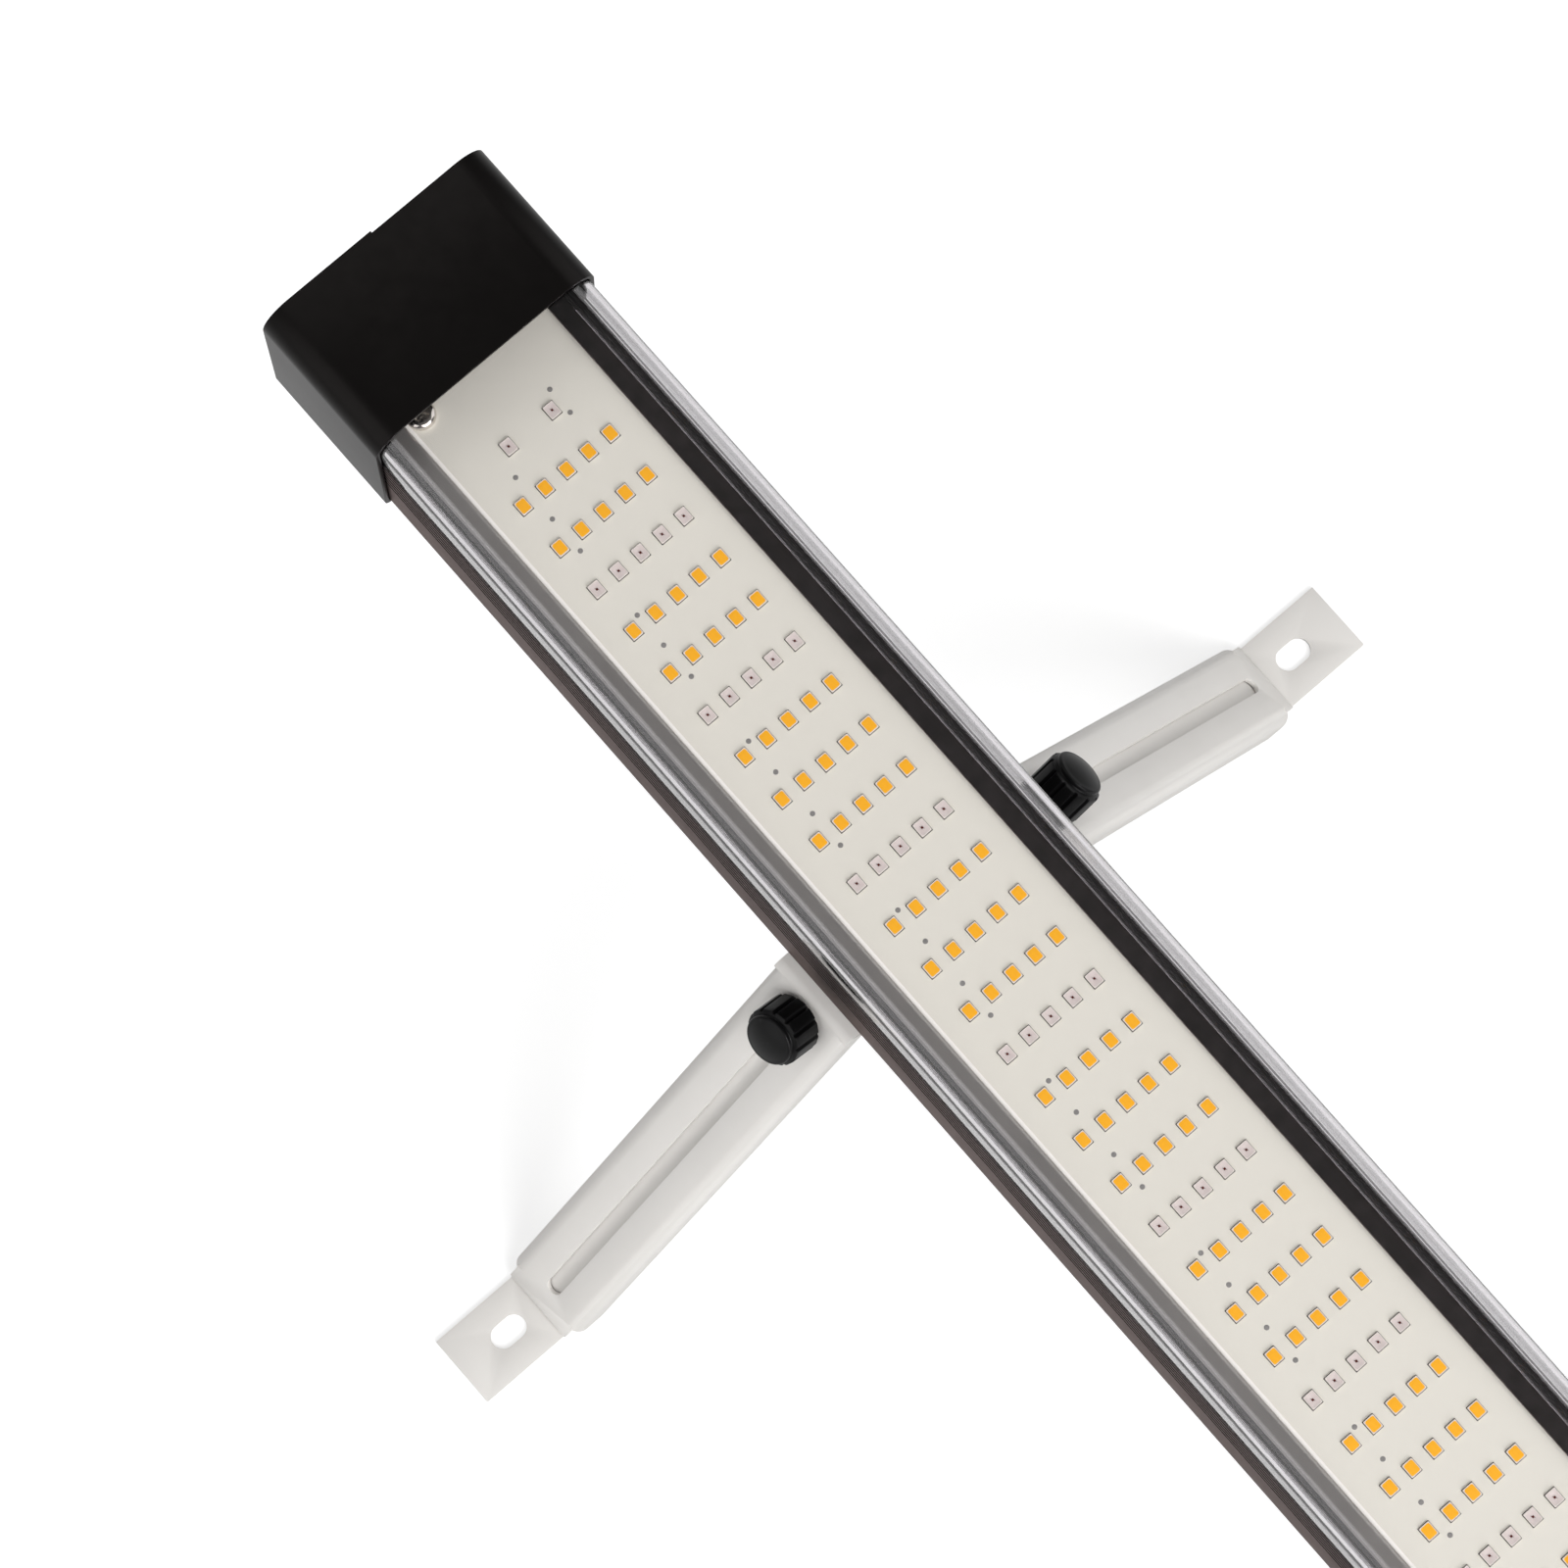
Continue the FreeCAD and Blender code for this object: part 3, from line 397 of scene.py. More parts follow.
powder_coat = finish("powder_coat", (0.775, 0.752, 0.722), (0.73, 0.708, 0.678), 0.46, 0.10,
                     "pebble", 1400.0, 0.018, rubbed=0.25, rub_colour=(0.80, 0.79, 0.77))
plated_steel = finish("plated_steel", (0.74, 0.71, 0.67), (0.62, 0.59, 0.56), 0.22, 0.14,
                      "die_lines", 1500.0, 0.004, metallic=1.0)
print("outside finishes done")

# %% [markdown]
# ### The board and its packages
#
# The board is coated with warm white solder mask over aluminium, so it has a faint grain.  A white
# package is a white frame round an amber phosphor with a faint painted glow, standing in for the amber
# light it makes from the light that falls on it.  A red package has a pale reflector and one dark red die.
# The left lip beside the board gets a paler half-metal finish, which is a painted reflection.  A
# near-black bead round each package is painted shadow, and a glowing strip on one edge of the board a
# painted highlight.

# %% Board finishes
board_mask = finish("board_mask", (0.93, 0.917, 0.81), (0.88, 0.866, 0.765), 0.42, 0.10,
                    "pebble", 1800.0, 0.010, mottle_scale=900.0)
# Painted highlight: a glowing strip that stands in for a bright line of light along one edge of the board.
painted_highlight = finish("painted_highlight", (0.95, 0.93, 0.88), (0.92, 0.90, 0.85), 0.30, 0.06,
                       "die_lines", 1500.0, 0.003, Emission_Color=(1.0, 0.97, 0.92, 1),
                       Emission_Strength=0.20)
# Painted reflection: only the left lip takes this paler, half-metal finish, for the light it reflects.
lip_painted_reflection = finish("lip_painted_reflection", (0.42, 0.41, 0.39), (0.34, 0.33, 0.315), 0.30, 0.08,
                     "die_lines", 900.0, 0.004, metallic=0.7)
package_frame = finish("package_frame", (0.95, 0.88, 0.79), (0.90, 0.83, 0.74), 0.35, 0.05,
                       "pebble", 4000.0, 0.002, mottle_scale=600.0)
# Painted glow: the emission stands in for the amber light the phosphor makes from light falling on it; the
# packages are not lit.
amber_phosphor = finish("amber_phosphor", (1.0, 0.52, 0.012), (0.98, 0.44, 0.006), 0.45, 0.08,
                        "pebble", 5000.0, 0.004, mottle_scale=1500.0,
                        Emission_Color=(1.0, 0.36, 0.0, 1), Emission_Strength=0.16)
red_frame = finish("red_frame", (0.95, 0.90, 0.83), (0.90, 0.84, 0.77), 0.25, 0.05,
                   "pebble", 4000.0, 0.002, mottle_scale=900.0)
silver_bowl = finish("silver_bowl", (0.95, 0.87, 0.82), (0.78, 0.68, 0.64), 0.18, 0.10,
                     "pebble", 1600.0, 0.03, metallic=0.05, mottle_scale=1100.0)
red_die = finish("red_die", (0.15, 0.022, 0.018), (0.05, 0.012, 0.010), 0.25, 0.1,
                 "pebble", 5000.0, 0.002, mottle_scale=3000.0)
# Painted shadow: this near-black bead round each package stands in for the contact shadow at its foot,
# shaped as solder.
solder_shadow = finish("solder_shadow", (0.016, 0.013, 0.009), (0.009, 0.007, 0.005), 0.55, 0.12,
                "pebble", 3000.0, 0.010, mottle_scale=900.0)
polished_steel = finish("polished_steel", (0.80, 0.76, 0.71), (0.70, 0.66, 0.61), 0.10, 0.08,
                        "pebble", 900.0, 0.004, metallic=1.0)
test_point = finish("test_point", (0.34, 0.335, 0.32), (0.24, 0.235, 0.22), 0.5, 0.1,
                    "pebble", 3000.0, 0.006, metallic=0.3, mottle_scale=900.0)
print("board finishes done")


# %% [markdown]
# ### Clear polycarbonate
#
# The lens bends light at its corners, which is where its bright streaks come from.  Its shader is plain
# glass of polycarbonate's index.  Light for shading the board inside passes straight through, because
# waiting for bent light to find the board would only add noise.

# %% Lens material
POLYCARBONATE_INDEX = 1.58
LENS_TINT = (0.62, 0.52, 0.60, 1)
LENS_DENSITY = 105.0
LENS_SURFACE = (0.985, 0.99, 0.99, 1)
LENS_PASSES = (0.98, 0.98, 0.98, 1)
LENS_LINE_DEPTH_MM = 0.00005


def clear_polycarbonate():
    """Glass for what the eye sees, clear for the light that shades the inside; faint die lines."""
    material = bpy.data.materials.new("clear_polycarbonate")
    material.use_nodes = True
    tree = material.node_tree
    shader = tree.nodes["Principled BSDF"]
    shader.inputs["Base Color"].default_value = LENS_SURFACE
    shader.inputs["Transmission Weight"].default_value = 1.0
    shader.inputs["IOR"].default_value = POLYCARBONATE_INDEX
    smudge = placed_group(tree, "smudge", roughness=0.004, spread=0.003)
    lines = placed_group(tree, "die_lines", scale=500.0)
    bump = tree.nodes.new("ShaderNodeBump")
    bump.inputs["Distance"].default_value = LENS_LINE_DEPTH_MM * MM
    tree.links.new(smudge.outputs["Roughness"], shader.inputs["Roughness"])
    tree.links.new(lines.outputs["Height"], bump.inputs["Height"])
    tree.links.new(bump.outputs["Normal"], shader.inputs["Normal"])
    clear = tree.nodes.new("ShaderNodeBsdfTransparent")
    clear.inputs["Color"].default_value = LENS_PASSES
    ray = tree.nodes.new("ShaderNodeLightPath")
    indirect = maths(tree, "MAXIMUM", ray.outputs["Is Shadow Ray"], ray.outputs["Is Diffuse Ray"])
    mix = tree.nodes.new("ShaderNodeMixShader")
    tree.links.new(indirect, mix.inputs["Fac"])
    tree.links.new(shader.outputs[0], mix.inputs[1])
    tree.links.new(clear.outputs[0], mix.inputs[2])
    tree.links.new(mix.outputs[0], tree.nodes["Material Output"].inputs["Surface"])
    tint = tree.nodes.new("ShaderNodeVolumeAbsorption")
    tint.inputs["Color"].default_value = LENS_TINT
    tint.inputs["Density"].default_value = LENS_DENSITY
    tree.links.new(tint.outputs[0], tree.nodes["Material Output"].inputs["Volume"])
    return material


lens_clear = clear_polycarbonate()
print("made", lens_clear.name, "with index", POLYCARBONATE_INDEX)

# %% [markdown]
# ### Inside pieces
#
# The driver and its wiring are closed inside the extrusion.  They are real pieces all the same, so each
# gets the finish of its real counterpart: green fibreglass, ferrite, tape, sleeves, copper and foil.

# %% Inside finishes
fibreglass = finish("fibreglass", (0.05, 0.22, 0.07), (0.03, 0.14, 0.05), 0.4, 0.1,
                    "pebble", 2500.0, 0.01)
ferrite = finish("ferrite", (0.05, 0.05, 0.055), (0.03, 0.03, 0.033), 0.55, 0.1,
                 "pebble", 1800.0, 0.02)
tape = finish("winding_tape", (0.75, 0.55, 0.05), (0.62, 0.42, 0.03), 0.3, 0.1,
              "die_lines", 900.0, 0.01)
sleeve = finish("capacitor_sleeve", (0.03, 0.04, 0.10), (0.02, 0.025, 0.07), 0.3, 0.1,
                "pebble", 1200.0, 0.01)
copper = finish("enamelled_copper", (0.62, 0.24, 0.10), (0.48, 0.16, 0.07), 0.25, 0.1,
                "die_lines", 1500.0, 0.02, metallic=1.0)
bare_aluminium = finish("bare_aluminium", (0.72, 0.72, 0.73), (0.62, 0.62, 0.63), 0.32, 0.1,
                        "die_lines", 1200.0, 0.01, metallic=1.0)
insulating_film = finish("insulating_film", (0.04, 0.04, 0.04), (0.03, 0.03, 0.03), 0.5, 0.1,
                         "pebble", 900.0, 0.01)
lead_jacket = finish("lead_jacket", (0.35, 0.02, 0.02), (0.25, 0.015, 0.015), 0.42, 0.1,
                     "pebble", 1500.0, 0.01)
silicone = finish("silicone", (0.22, 0.22, 0.22), (0.17, 0.17, 0.17), 0.65, 0.1,
                  "pebble", 1200.0, 0.02)

CAD_FINISHES = {
    "led_board": board_mask, "inlet_pins": plated_steel, "power_inlet": inlet_moulding,
    "end_gasket_near": silicone, "end_gasket_far": silicone,
    "driver_board": fibreglass, "insulation_tray": insulating_film, "driver_transformer": ferrite,
    "transformer_winding": tape, "driver_capacitors": sleeve, "driver_choke": copper,
    "driver_heat_sink": bare_aluminium, "mains_leads": lead_jacket, "led_leads": lead_jacket,
    "slide_nuts": plated_steel, "bracket_screws": plated_steel,
}
for node_name, material in CAD_FINISHES.items():
    for material_slot in frame["nodes"][node_name].material_slots:
        material_slot.material = material
print(len(CAD_FINISHES), "CAD nodes carry a finish of their own")

# %% [markdown]
# ## Soft edges on the CAD pieces
#
# No real edge is perfectly sharp: folded sheet has a burr-free radius, and moulded caps have a small
# round.  A copy of the CAD mesh is welded, its flat triangles are merged, and every sharp edge gets a
# narrow bevel.  The copy then stands for the CAD node.  This keeps the CAD shape apart from its edges,
# and gives each edge its thin line of light.

# %% Softened copies
SMOOTH_LIMIT = math.radians(32)
FLAT_LIMIT = math.radians(1.0)
WELD_MM = 0.0005
WIDE_SEGMENTS = 6


def add_piece(name, mesh, body, nodes, slot_name, *materials):
    """Links a finished mesh as a piece that rides on a body and stands for CAD nodes."""
    piece = bpy.data.objects.new(name, mesh)
    bpy.context.scene.collection.objects.link(piece)
    marks = [min(polygon.material_index, len(materials) - 1) for polygon in mesh.polygons]
    mesh.materials.clear()
    for material in materials:
        mesh.materials.append(material)
    for polygon, mark in zip(mesh.polygons, marks):
        polygon.material_index = mark
        polygon.use_smooth = True
    mesh.set_sharp_from_angle(angle=SMOOTH_LIMIT)
    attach(piece, body)
    if nodes:
        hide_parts(*nodes)
    return piece


def softened(node_name, body, slot_name, materials, edge_mm, segments=2, wide_edges=None, wide_mm=0.0):
    """A copy of a CAD node with narrow bevels on its sharp edges, and wide ones where asked.

    The wide bevels take the second material.
    """
    work = bmesh.new()
    work.from_mesh(frame["nodes"][node_name].data)
    bmesh.ops.remove_doubles(work, verts=work.verts, dist=WELD_MM * MM)
    bmesh.ops.dissolve_limit(work, angle_limit=FLAT_LIMIT, verts=work.verts, edges=work.edges)
    if wide_edges:
        wide = [edge for edge in work.edges if all(wide_edges(vertex.co / MM) for vertex in edge.verts)
                and edge.calc_face_angle(0.0) > SMOOTH_LIMIT]
        bmesh.ops.bevel(work, geom=wide, offset=wide_mm * MM, segments=WIDE_SEGMENTS, profile=0.5,
                        affect="EDGES", clamp_overlap=True, material=1)
        print(node_name, len(wide), "wide edges")
    sharp = [edge for edge in work.edges
             if len(edge.link_faces) == 2 and edge.calc_face_angle(0.0) > SMOOTH_LIMIT]
    bmesh.ops.bevel(work, geom=sharp, offset=edge_mm * MM, segments=segments, profile=0.5,
                    affect="EDGES", clamp_overlap=True)
    bmesh.ops.remove_doubles(work, verts=work.verts, dist=WELD_MM * MM)
    mesh = bpy.data.meshes.new(node_name + "_softened")
    work.to_mesh(mesh)
    work.free()
    piece = add_piece(node_name + "_softened", mesh, body, [node_name], slot_name, *materials)
    print(piece.name, len(mesh.polygons), "faces")
    return piece


# %% [markdown]
# ### Housing, caps and brackets
#
# These keep their CAD shapes.  The caps get the widest round, since a mould needs one, and the sheet
# pieces a narrow one, as tumbled and painted steel has.  The housing's left lip rolls over towards the
# board; one wide bevel gives the roll, and a second material paints a reflection on that lip alone,
# which makes it brighter than the rest, without a seam.

# %% The housing and its rolled lip
EXTRUSION_EDGE = 0.12
LIP_INNER_Y = 21.0
LIP_OUTER_Y = 26.2
LIP_ROUND = 1.1
LIP_RISE = 1.35                 # lip's top over the board's face
SAME_PLACE = 0.05
lip_top = board_plane + LIP_RISE


def on_lip_edge(place):
    """True on the top inner edge of the lip that holds the board's left side."""
    return abs(place.y + LIP_INNER_Y) < SAME_PLACE and abs(place.z - lip_top) < SAME_PLACE


housing = softened("housing", "bar", "black_anodised", [anodised_black, lip_painted_reflection], EXTRUSION_EDGE, 1,
                   on_lip_edge, LIP_ROUND)
# The left lip's top faces take the painted reflection too.
for polygon in housing.data.polygons:
    middle = polygon.center / MM
    if abs(middle.z - lip_top) < SAME_PLACE and -LIP_OUTER_Y < middle.y < -LIP_INNER_Y:
        polygon.material_index = 1

# %% Caps, brackets, legs and their small steel
CAP_EDGE = 0.35
SHEET_EDGE = 0.18
NUT_EDGE = 0.12
WASHER_EDGE = 0.10
STUD_EDGE = 0.15
ENDS = ("near", "far")
CORNERS = [end + "_" + side for end in ENDS for side in ("left", "right")]

for end in ENDS:
    softened("end_cap_" + end, "bar", "cap_plastic", [cap_moulding], CAP_EDGE, 3)
    softened("bracket_" + end, "bar", "painted_sheet", [powder_coat], SHEET_EDGE)
for corner in CORNERS:
    softened("leg_" + corner, "leg_" + corner, "painted_sheet", [powder_coat], SHEET_EDGE)
    softened("clinch_nut_" + corner, "leg_" + corner, "bright_steel", [plated_steel], NUT_EDGE)
    softened("washer_" + corner, "knob_" + corner, "bright_steel", [plated_steel], WASHER_EDGE)
    softened("stud_" + corner, "knob_" + corner, "bright_steel", [plated_steel], STUD_EDGE)

# %% [markdown]
# ## Building shapes from outlines
#
# Most of this lamp is made by extrusion or turning, so two helpers cover nearly everything.  One pulls a
# closed outline along the bar, the other makes a row of rings, each ring being one outline at one
# height.  Both give clean quads with even edges, which take light better than a boolean cut would.

# %% Outline helpers
def arc(centre, radius, start_deg, end_deg, steps):
    """Points on an arc, both ends included."""
    points = []
    for index in range(steps + 1):
        angle = math.radians(start_deg + (end_deg - start_deg) * index / steps)
        points.append((centre[0] + radius * math.cos(angle), centre[1] + radius * math.sin(angle)))
    return points


def clockwise(centre, radius, start_deg, steps):
    """Quarter circle walked the other way, ending at start_deg."""
    return list(reversed(arc(centre, radius, start_deg, start_deg + 90, steps)))


def circle(radius, count):
    """Points round a circle, the first one on the X axis."""
    return [(radius * math.cos(math.tau * k / count), radius * math.sin(math.tau * k / count))
            for k in range(count)]


def at_height(outline, height):
    """An outline as a ring of 3-D points."""
    return [(x, y, height) for x, y in outline]


def rounded_rectangle(length, width, radius, steps):
    """Outline of a rectangle round the origin with round corners, anticlockwise."""
    points = []
    for quarter, (across, up) in enumerate(((1, 1), (-1, 1), (-1, -1), (1, -1))):
        centre = (across * (length / 2 - radius), up * (width / 2 - radius))
        points += arc(centre, radius, 90 * quarter, 90 * quarter + 90, steps)
    return points


def stacked(rings):
    """Mesh data of a stack of equal-length rings of 3-D points, closed by a flat face on each end."""
    count = len(rings[0])
    points = [point for ring in rings for point in ring]
    faces = [tuple(reversed(range(count)))]
    for level in range(len(rings) - 1):
        for index in range(count):
            after = (index + 1) % count
            low, high = level * count, (level + 1) * count
            faces.append((low + index, low + after, high + after, high + index))
    last = (len(rings) - 1) * count
    faces.append(tuple(range(last, last + count)))
    return points, faces


def pulled(outline, end):
    """Mesh data of a (y, z) outline pulled along X from -end to end, in millimetres."""
    return stacked([[(x, y, z) for y, z in outline] for x in (-end, end)])


def joined(parts):
    """Joins several (points, faces) pairs into one mesh, in metres, with faces turned outwards."""
    points, faces = [], []
    for part_points, part_faces in parts:
        offset = len(points)
        points += [(x * MM, y * MM, z * MM) for x, y, z in part_points]
        faces += [tuple(offset + index for index in face) for face in part_faces]
    mesh = bpy.data.meshes.new("joined")
    mesh.from_pydata(points, [], faces)
    work = bmesh.new()
    work.from_mesh(mesh)
    bmesh.ops.recalc_face_normals(work, faces=work.faces)
    work.to_mesh(mesh)
    work.free()
    return mesh


def moved(part, place, turn=None):
    """Mesh data turned by a matrix, then moved."""
    points, faces = part
    turn = turn or Matrix.Identity(3)
    return [tuple(turn @ Vector(point) + Vector(place)) for point in points], faces


# %% [markdown]
# ## Clear lens
#
# The lens is one extrusion: flat front, round shoulders, straight sides, feet that turn in over the board
# lips, and hooks that snap into the housing.  Its streaks of light come from the shoulders and feet, so
# those need many smooth steps.  Faint ripples up the inside of the walls stand for the uneven flow of
# the extrusion die.  The sides are drawn flush with the housing, a hair wider than in the CAD.

# %% Lens outline
LENS_WALL = 1.3
LENS_PROUD = 0.25
LENS_GAP = 0.15                 # between the wall's lower edge and the board's plane
LENS_SHOULDER = 6.3
LENS_FOOT_IN = 25.2
LENS_FOOT_LOW = 1.5
LENS_FOOT_HEIGHT = 1.3
LENS_FOOT_FILLET = 0.9
LENS_HOOK_IN = 27.0
LENS_HOOK_OUT = 28.1
LENS_BARB = 28.7
LENS_BARB_TIP = 0.6
LENS_BARB_TOP = 1.2
LENS_SOFT = 0.45
SHOULDER_STEPS = 20
FILLET_STEPS = 6
SOFT_STEPS = 5
RIPPLE_START = 0.5
RIPPLE_HEIGHT = 0.012
RIPPLE_WAVES = 3
RIPPLE_STEPS = 24
lens_side = lens_high.y / MM + LENS_PROUD
lens_front = lens_high.z / MM
lens_hook_low = lens_low.z / MM
lens_end = lens_high.x / MM


def lens_half():
    """Outline of the lens for y > 0, from the middle of the front down the outside and up the inside."""
    side_low = board_plane + LENS_GAP
    foot_low = board_plane + LENS_FOOT_LOW
    foot_high = foot_low + LENS_FOOT_HEIGHT
    foot_in = LENS_FOOT_IN + LENS_SOFT
    barb_top = lens_hook_low + LENS_BARB_TOP
    fillet_z = foot_high + LENS_FOOT_FILLET
    shoulder = (lens_side - LENS_SHOULDER, lens_front - LENS_SHOULDER)
    inside = lens_side - LENS_WALL
    half = clockwise(shoulder, LENS_SHOULDER, 0, SHOULDER_STEPS)
    half += clockwise((lens_side - LENS_SOFT, side_low + LENS_SOFT), LENS_SOFT, 270, SOFT_STEPS)
    half += [(inside, side_low), (inside, foot_low), (LENS_HOOK_OUT, foot_low)]
    half += [(LENS_HOOK_OUT, barb_top), (LENS_BARB, barb_top)]
    half += [(LENS_BARB, lens_hook_low + LENS_BARB_TIP), (LENS_HOOK_OUT, lens_hook_low)]
    half += [(LENS_HOOK_IN, lens_hook_low), (LENS_HOOK_IN, foot_low)]
    half += clockwise((foot_in, foot_low + LENS_SOFT), LENS_SOFT, 180, SOFT_STEPS)
    half += clockwise((foot_in, foot_high - LENS_SOFT), LENS_SOFT, 90, SOFT_STEPS)
    half += arc((inside - LENS_FOOT_FILLET, fillet_z), LENS_FOOT_FILLET, 270, 360, FILLET_STEPS)
    half += ripples(inside, fillet_z + RIPPLE_START, lens_front - LENS_SHOULDER)
    half += arc(shoulder, LENS_SHOULDER - LENS_WALL, 0, 90, SHOULDER_STEPS)
    return half


def ripples(inside, low, high):
    """Shallow waves up the inside of a lens wall."""
    points = []
    for index in range(1, RIPPLE_STEPS):
        share = index / RIPPLE_STEPS
        wave = RIPPLE_HEIGHT * (1 - math.cos(math.tau * RIPPLE_WAVES * share)) / 2
        points.append((inside - wave, low + (high - low) * share))
    return points


lens_outline = lens_half()
lens_outline += [(-y, z) for y, z in reversed(lens_outline)]
lens_mesh = joined([pulled(lens_outline, lens_end)])
add_piece("clear_lens_cover", lens_mesh, "bar", ["lens_cover"], "clear_lens", lens_clear)
print("lens outline has", len(lens_outline), "points")

# %% [markdown]
# ## LED packages
#
# Each package is a moulded white frame, 3.5 by 2.8 mm, with a window.  White packages are filled to the
# brim with amber phosphor, and red ones show a pale bowl with a dark red die.  A low, near-black bead
# shaped as solder runs round each foot; it is painted contact shadow under the package.  Every package is
# the same few rings of points, so one function makes them and a loop sets them on the board where the CAD
# has them.

# %% Where the packages stand
def solid_boxes(node_name):
    """Lowest and highest corner of every separate solid of a CAD node, in millimetres."""
    work = bmesh.new()
    work.from_mesh(frame["nodes"][node_name].data)
    bmesh.ops.remove_doubles(work, verts=work.verts, dist=WELD_MM * MM)
    seen, boxes = set(), []
    for start in work.verts:
        if start in seen:
            continue
        island, queue = [], [start]
        seen.add(start)
        while queue:
            vertex = queue.pop()
            island.append(vertex.co / MM)
            for edge in vertex.link_edges:
                other = edge.other_vert(vertex)
                if other not in seen:
                    seen.add(other)
                    queue.append(other)
        low = Vector([min(co[axis] for co in island) for axis in range(3)])
        high = Vector([max(co[axis] for co in island) for axis in range(3)])
        boxes.append((low, high))
    work.free()
    return sorted(boxes, key=lambda box: (round(box[0].x, 2), round(box[0].y, 2)))


def board_places(node_name):
    """Middles of a node's solids as (x, y) on the board."""
    middles = [(low + high) / 2 for low, high in solid_boxes(node_name)]
    return [(middle.x, middle.y) for middle in middles]


white_places = board_places("white_led_bodies")
red_places = board_places("red_led_bodies")
print(len(white_places), "white packages,", len(red_places), "red packages")

# %% Package parts
LED_LENGTH = 3.5
LED_WIDTH = 2.8
LED_HEIGHT = 0.7
WINDOW_LENGTH = 3.05
WINDOW_WIDTH = 2.45
WINDOW_DEPTH = 0.25
LED_CORNER = 0.18
FRAME_BEVEL = 0.06
WINDOW_BEVEL = 0.03
# The dark bead round each foot is painted contact shadow, shaped as solder.
SHADOW_RIM_REACH = 0.17
SHADOW_RIM_HEIGHT = 0.10
CHIP_SIZE = 0.55
CHIP_HEIGHT = 0.12
CHIP_TURN = 38
BOND_RISE = 0.05
BOND_PLACE = (0.38, 0.24)


def ring_at(length, width, radius, height):
    """Rounded rectangle at a height."""
    return at_height(rounded_rectangle(length, width, radius, 2), height)


def package_body():
    """Frame with a drafted window pocket."""
    draft, flare = 2 * FRAME_BEVEL, 2 * WINDOW_BEVEL
    rings = [
        ring_at(LED_LENGTH, LED_WIDTH, LED_CORNER, 0.0),
        ring_at(LED_LENGTH, LED_WIDTH, LED_CORNER, LED_HEIGHT - FRAME_BEVEL),
        ring_at(LED_LENGTH - draft, LED_WIDTH - draft, LED_CORNER, LED_HEIGHT),
        ring_at(WINDOW_LENGTH + flare, WINDOW_WIDTH + flare, 0.42, LED_HEIGHT),
        ring_at(WINDOW_LENGTH, WINDOW_WIDTH, 0.40, LED_HEIGHT - WINDOW_BEVEL),
        ring_at(WINDOW_LENGTH - draft, WINDOW_WIDTH - draft, 0.36, LED_HEIGHT - WINDOW_DEPTH),
    ]
    return stacked(rings)


def window_fill(brim, dome, shrink):
    """Filling of the window: flat under, slightly domed on top."""
    length, width = WINDOW_LENGTH - shrink, WINDOW_WIDTH - shrink
    floor = LED_HEIGHT - WINDOW_DEPTH + 0.002
    rings = [
        ring_at(length - 0.1, width - 0.1, 0.34, floor),
        ring_at(length, width, 0.38, brim),
        ring_at(length * 0.8, width * 0.8, 0.34, brim + dome * 0.6),
        ring_at(length * 0.4, width * 0.4, 0.2, brim + dome),
    ]
    return stacked(rings)


def solder_shadow_rim():
    """Low dark bead round the package's foot: painted contact shadow, shaped as the solder that holds it
    down.
    """
    foot, rim = 2 * SHADOW_RIM_REACH, 1.6 * SHADOW_RIM_REACH
    rings = [
        ring_at(LED_LENGTH + foot, LED_WIDTH + foot, 0.10, 0.002),
        ring_at(LED_LENGTH + rim, LED_WIDTH + rim, 0.10, SHADOW_RIM_HEIGHT * 0.7),
        ring_at(LED_LENGTH - 0.1, LED_WIDTH - 0.1, 0.10, SHADOW_RIM_HEIGHT),
    ]
    return stacked(rings)


def bowl():
    """Pale lining of a red package's window, with a dished floor."""
    floor = LED_HEIGHT - WINDOW_DEPTH
    rings = [
        ring_at(WINDOW_LENGTH - 0.14, WINDOW_WIDTH - 0.14, 0.34, floor + 0.001),
        ring_at(WINDOW_LENGTH - 0.02, WINDOW_WIDTH - 0.02, 0.40, LED_HEIGHT - 0.05),
        ring_at(WINDOW_LENGTH - 0.30, WINDOW_WIDTH - 0.30, 0.40, LED_HEIGHT - 0.06),
        ring_at(WINDOW_LENGTH - 1.15, WINDOW_WIDTH - 0.95, 0.30, floor + 0.05),
        ring_at(0.5, 0.45, 0.1, floor + 0.03),
    ]
    return stacked(rings)


def die():
    """Small square chip on the bowl's floor, and the pads of its two bond wires."""
    floor = LED_HEIGHT - WINDOW_DEPTH + 0.032
    top = CHIP_SIZE * 0.9
    chip = [ring_at(CHIP_SIZE, CHIP_SIZE, 0.03, floor), ring_at(top, top, 0.03, floor + CHIP_HEIGHT)]
    turn = Matrix.Rotation(math.radians(CHIP_TURN), 3, "Z")
    pad = stacked([ring_at(0.30, 0.10, 0.04, floor), ring_at(0.26, 0.07, 0.03, floor + BOND_RISE)])
    pads = [moved(pad, (way * BOND_PLACE[0], way * BOND_PLACE[1], 0), turn) for way in (-1, 1)]
    return [stacked(chip)] + pads


def spread(parts, places):
    """The same parts at each place on the board."""
    return [moved(part, (x, y, board_plane)) for x, y in places for part in parts]


# %% Put the packages on the board
add_piece("white_packages", joined(spread([package_body()], white_places)), "bar",
          ["white_led_bodies"], "led_package", package_frame)
add_piece("amber_windows", joined(spread([window_fill(LED_HEIGHT - 0.02, 0.03, 0.03)], white_places)),
          "bar", ["white_led_phosphors"], "led_phosphor", amber_phosphor)
add_piece("red_packages", joined(spread([package_body()], red_places)), "bar",
          ["red_led_bodies"], "led_package", red_frame)
add_piece("red_bowls", joined(spread([bowl()], red_places)), "bar", [], "bright_steel", silver_bowl)
add_piece("red_dies", joined(spread(die(), red_places)), "bar", ["red_led_chips"], "red_chip", red_die)
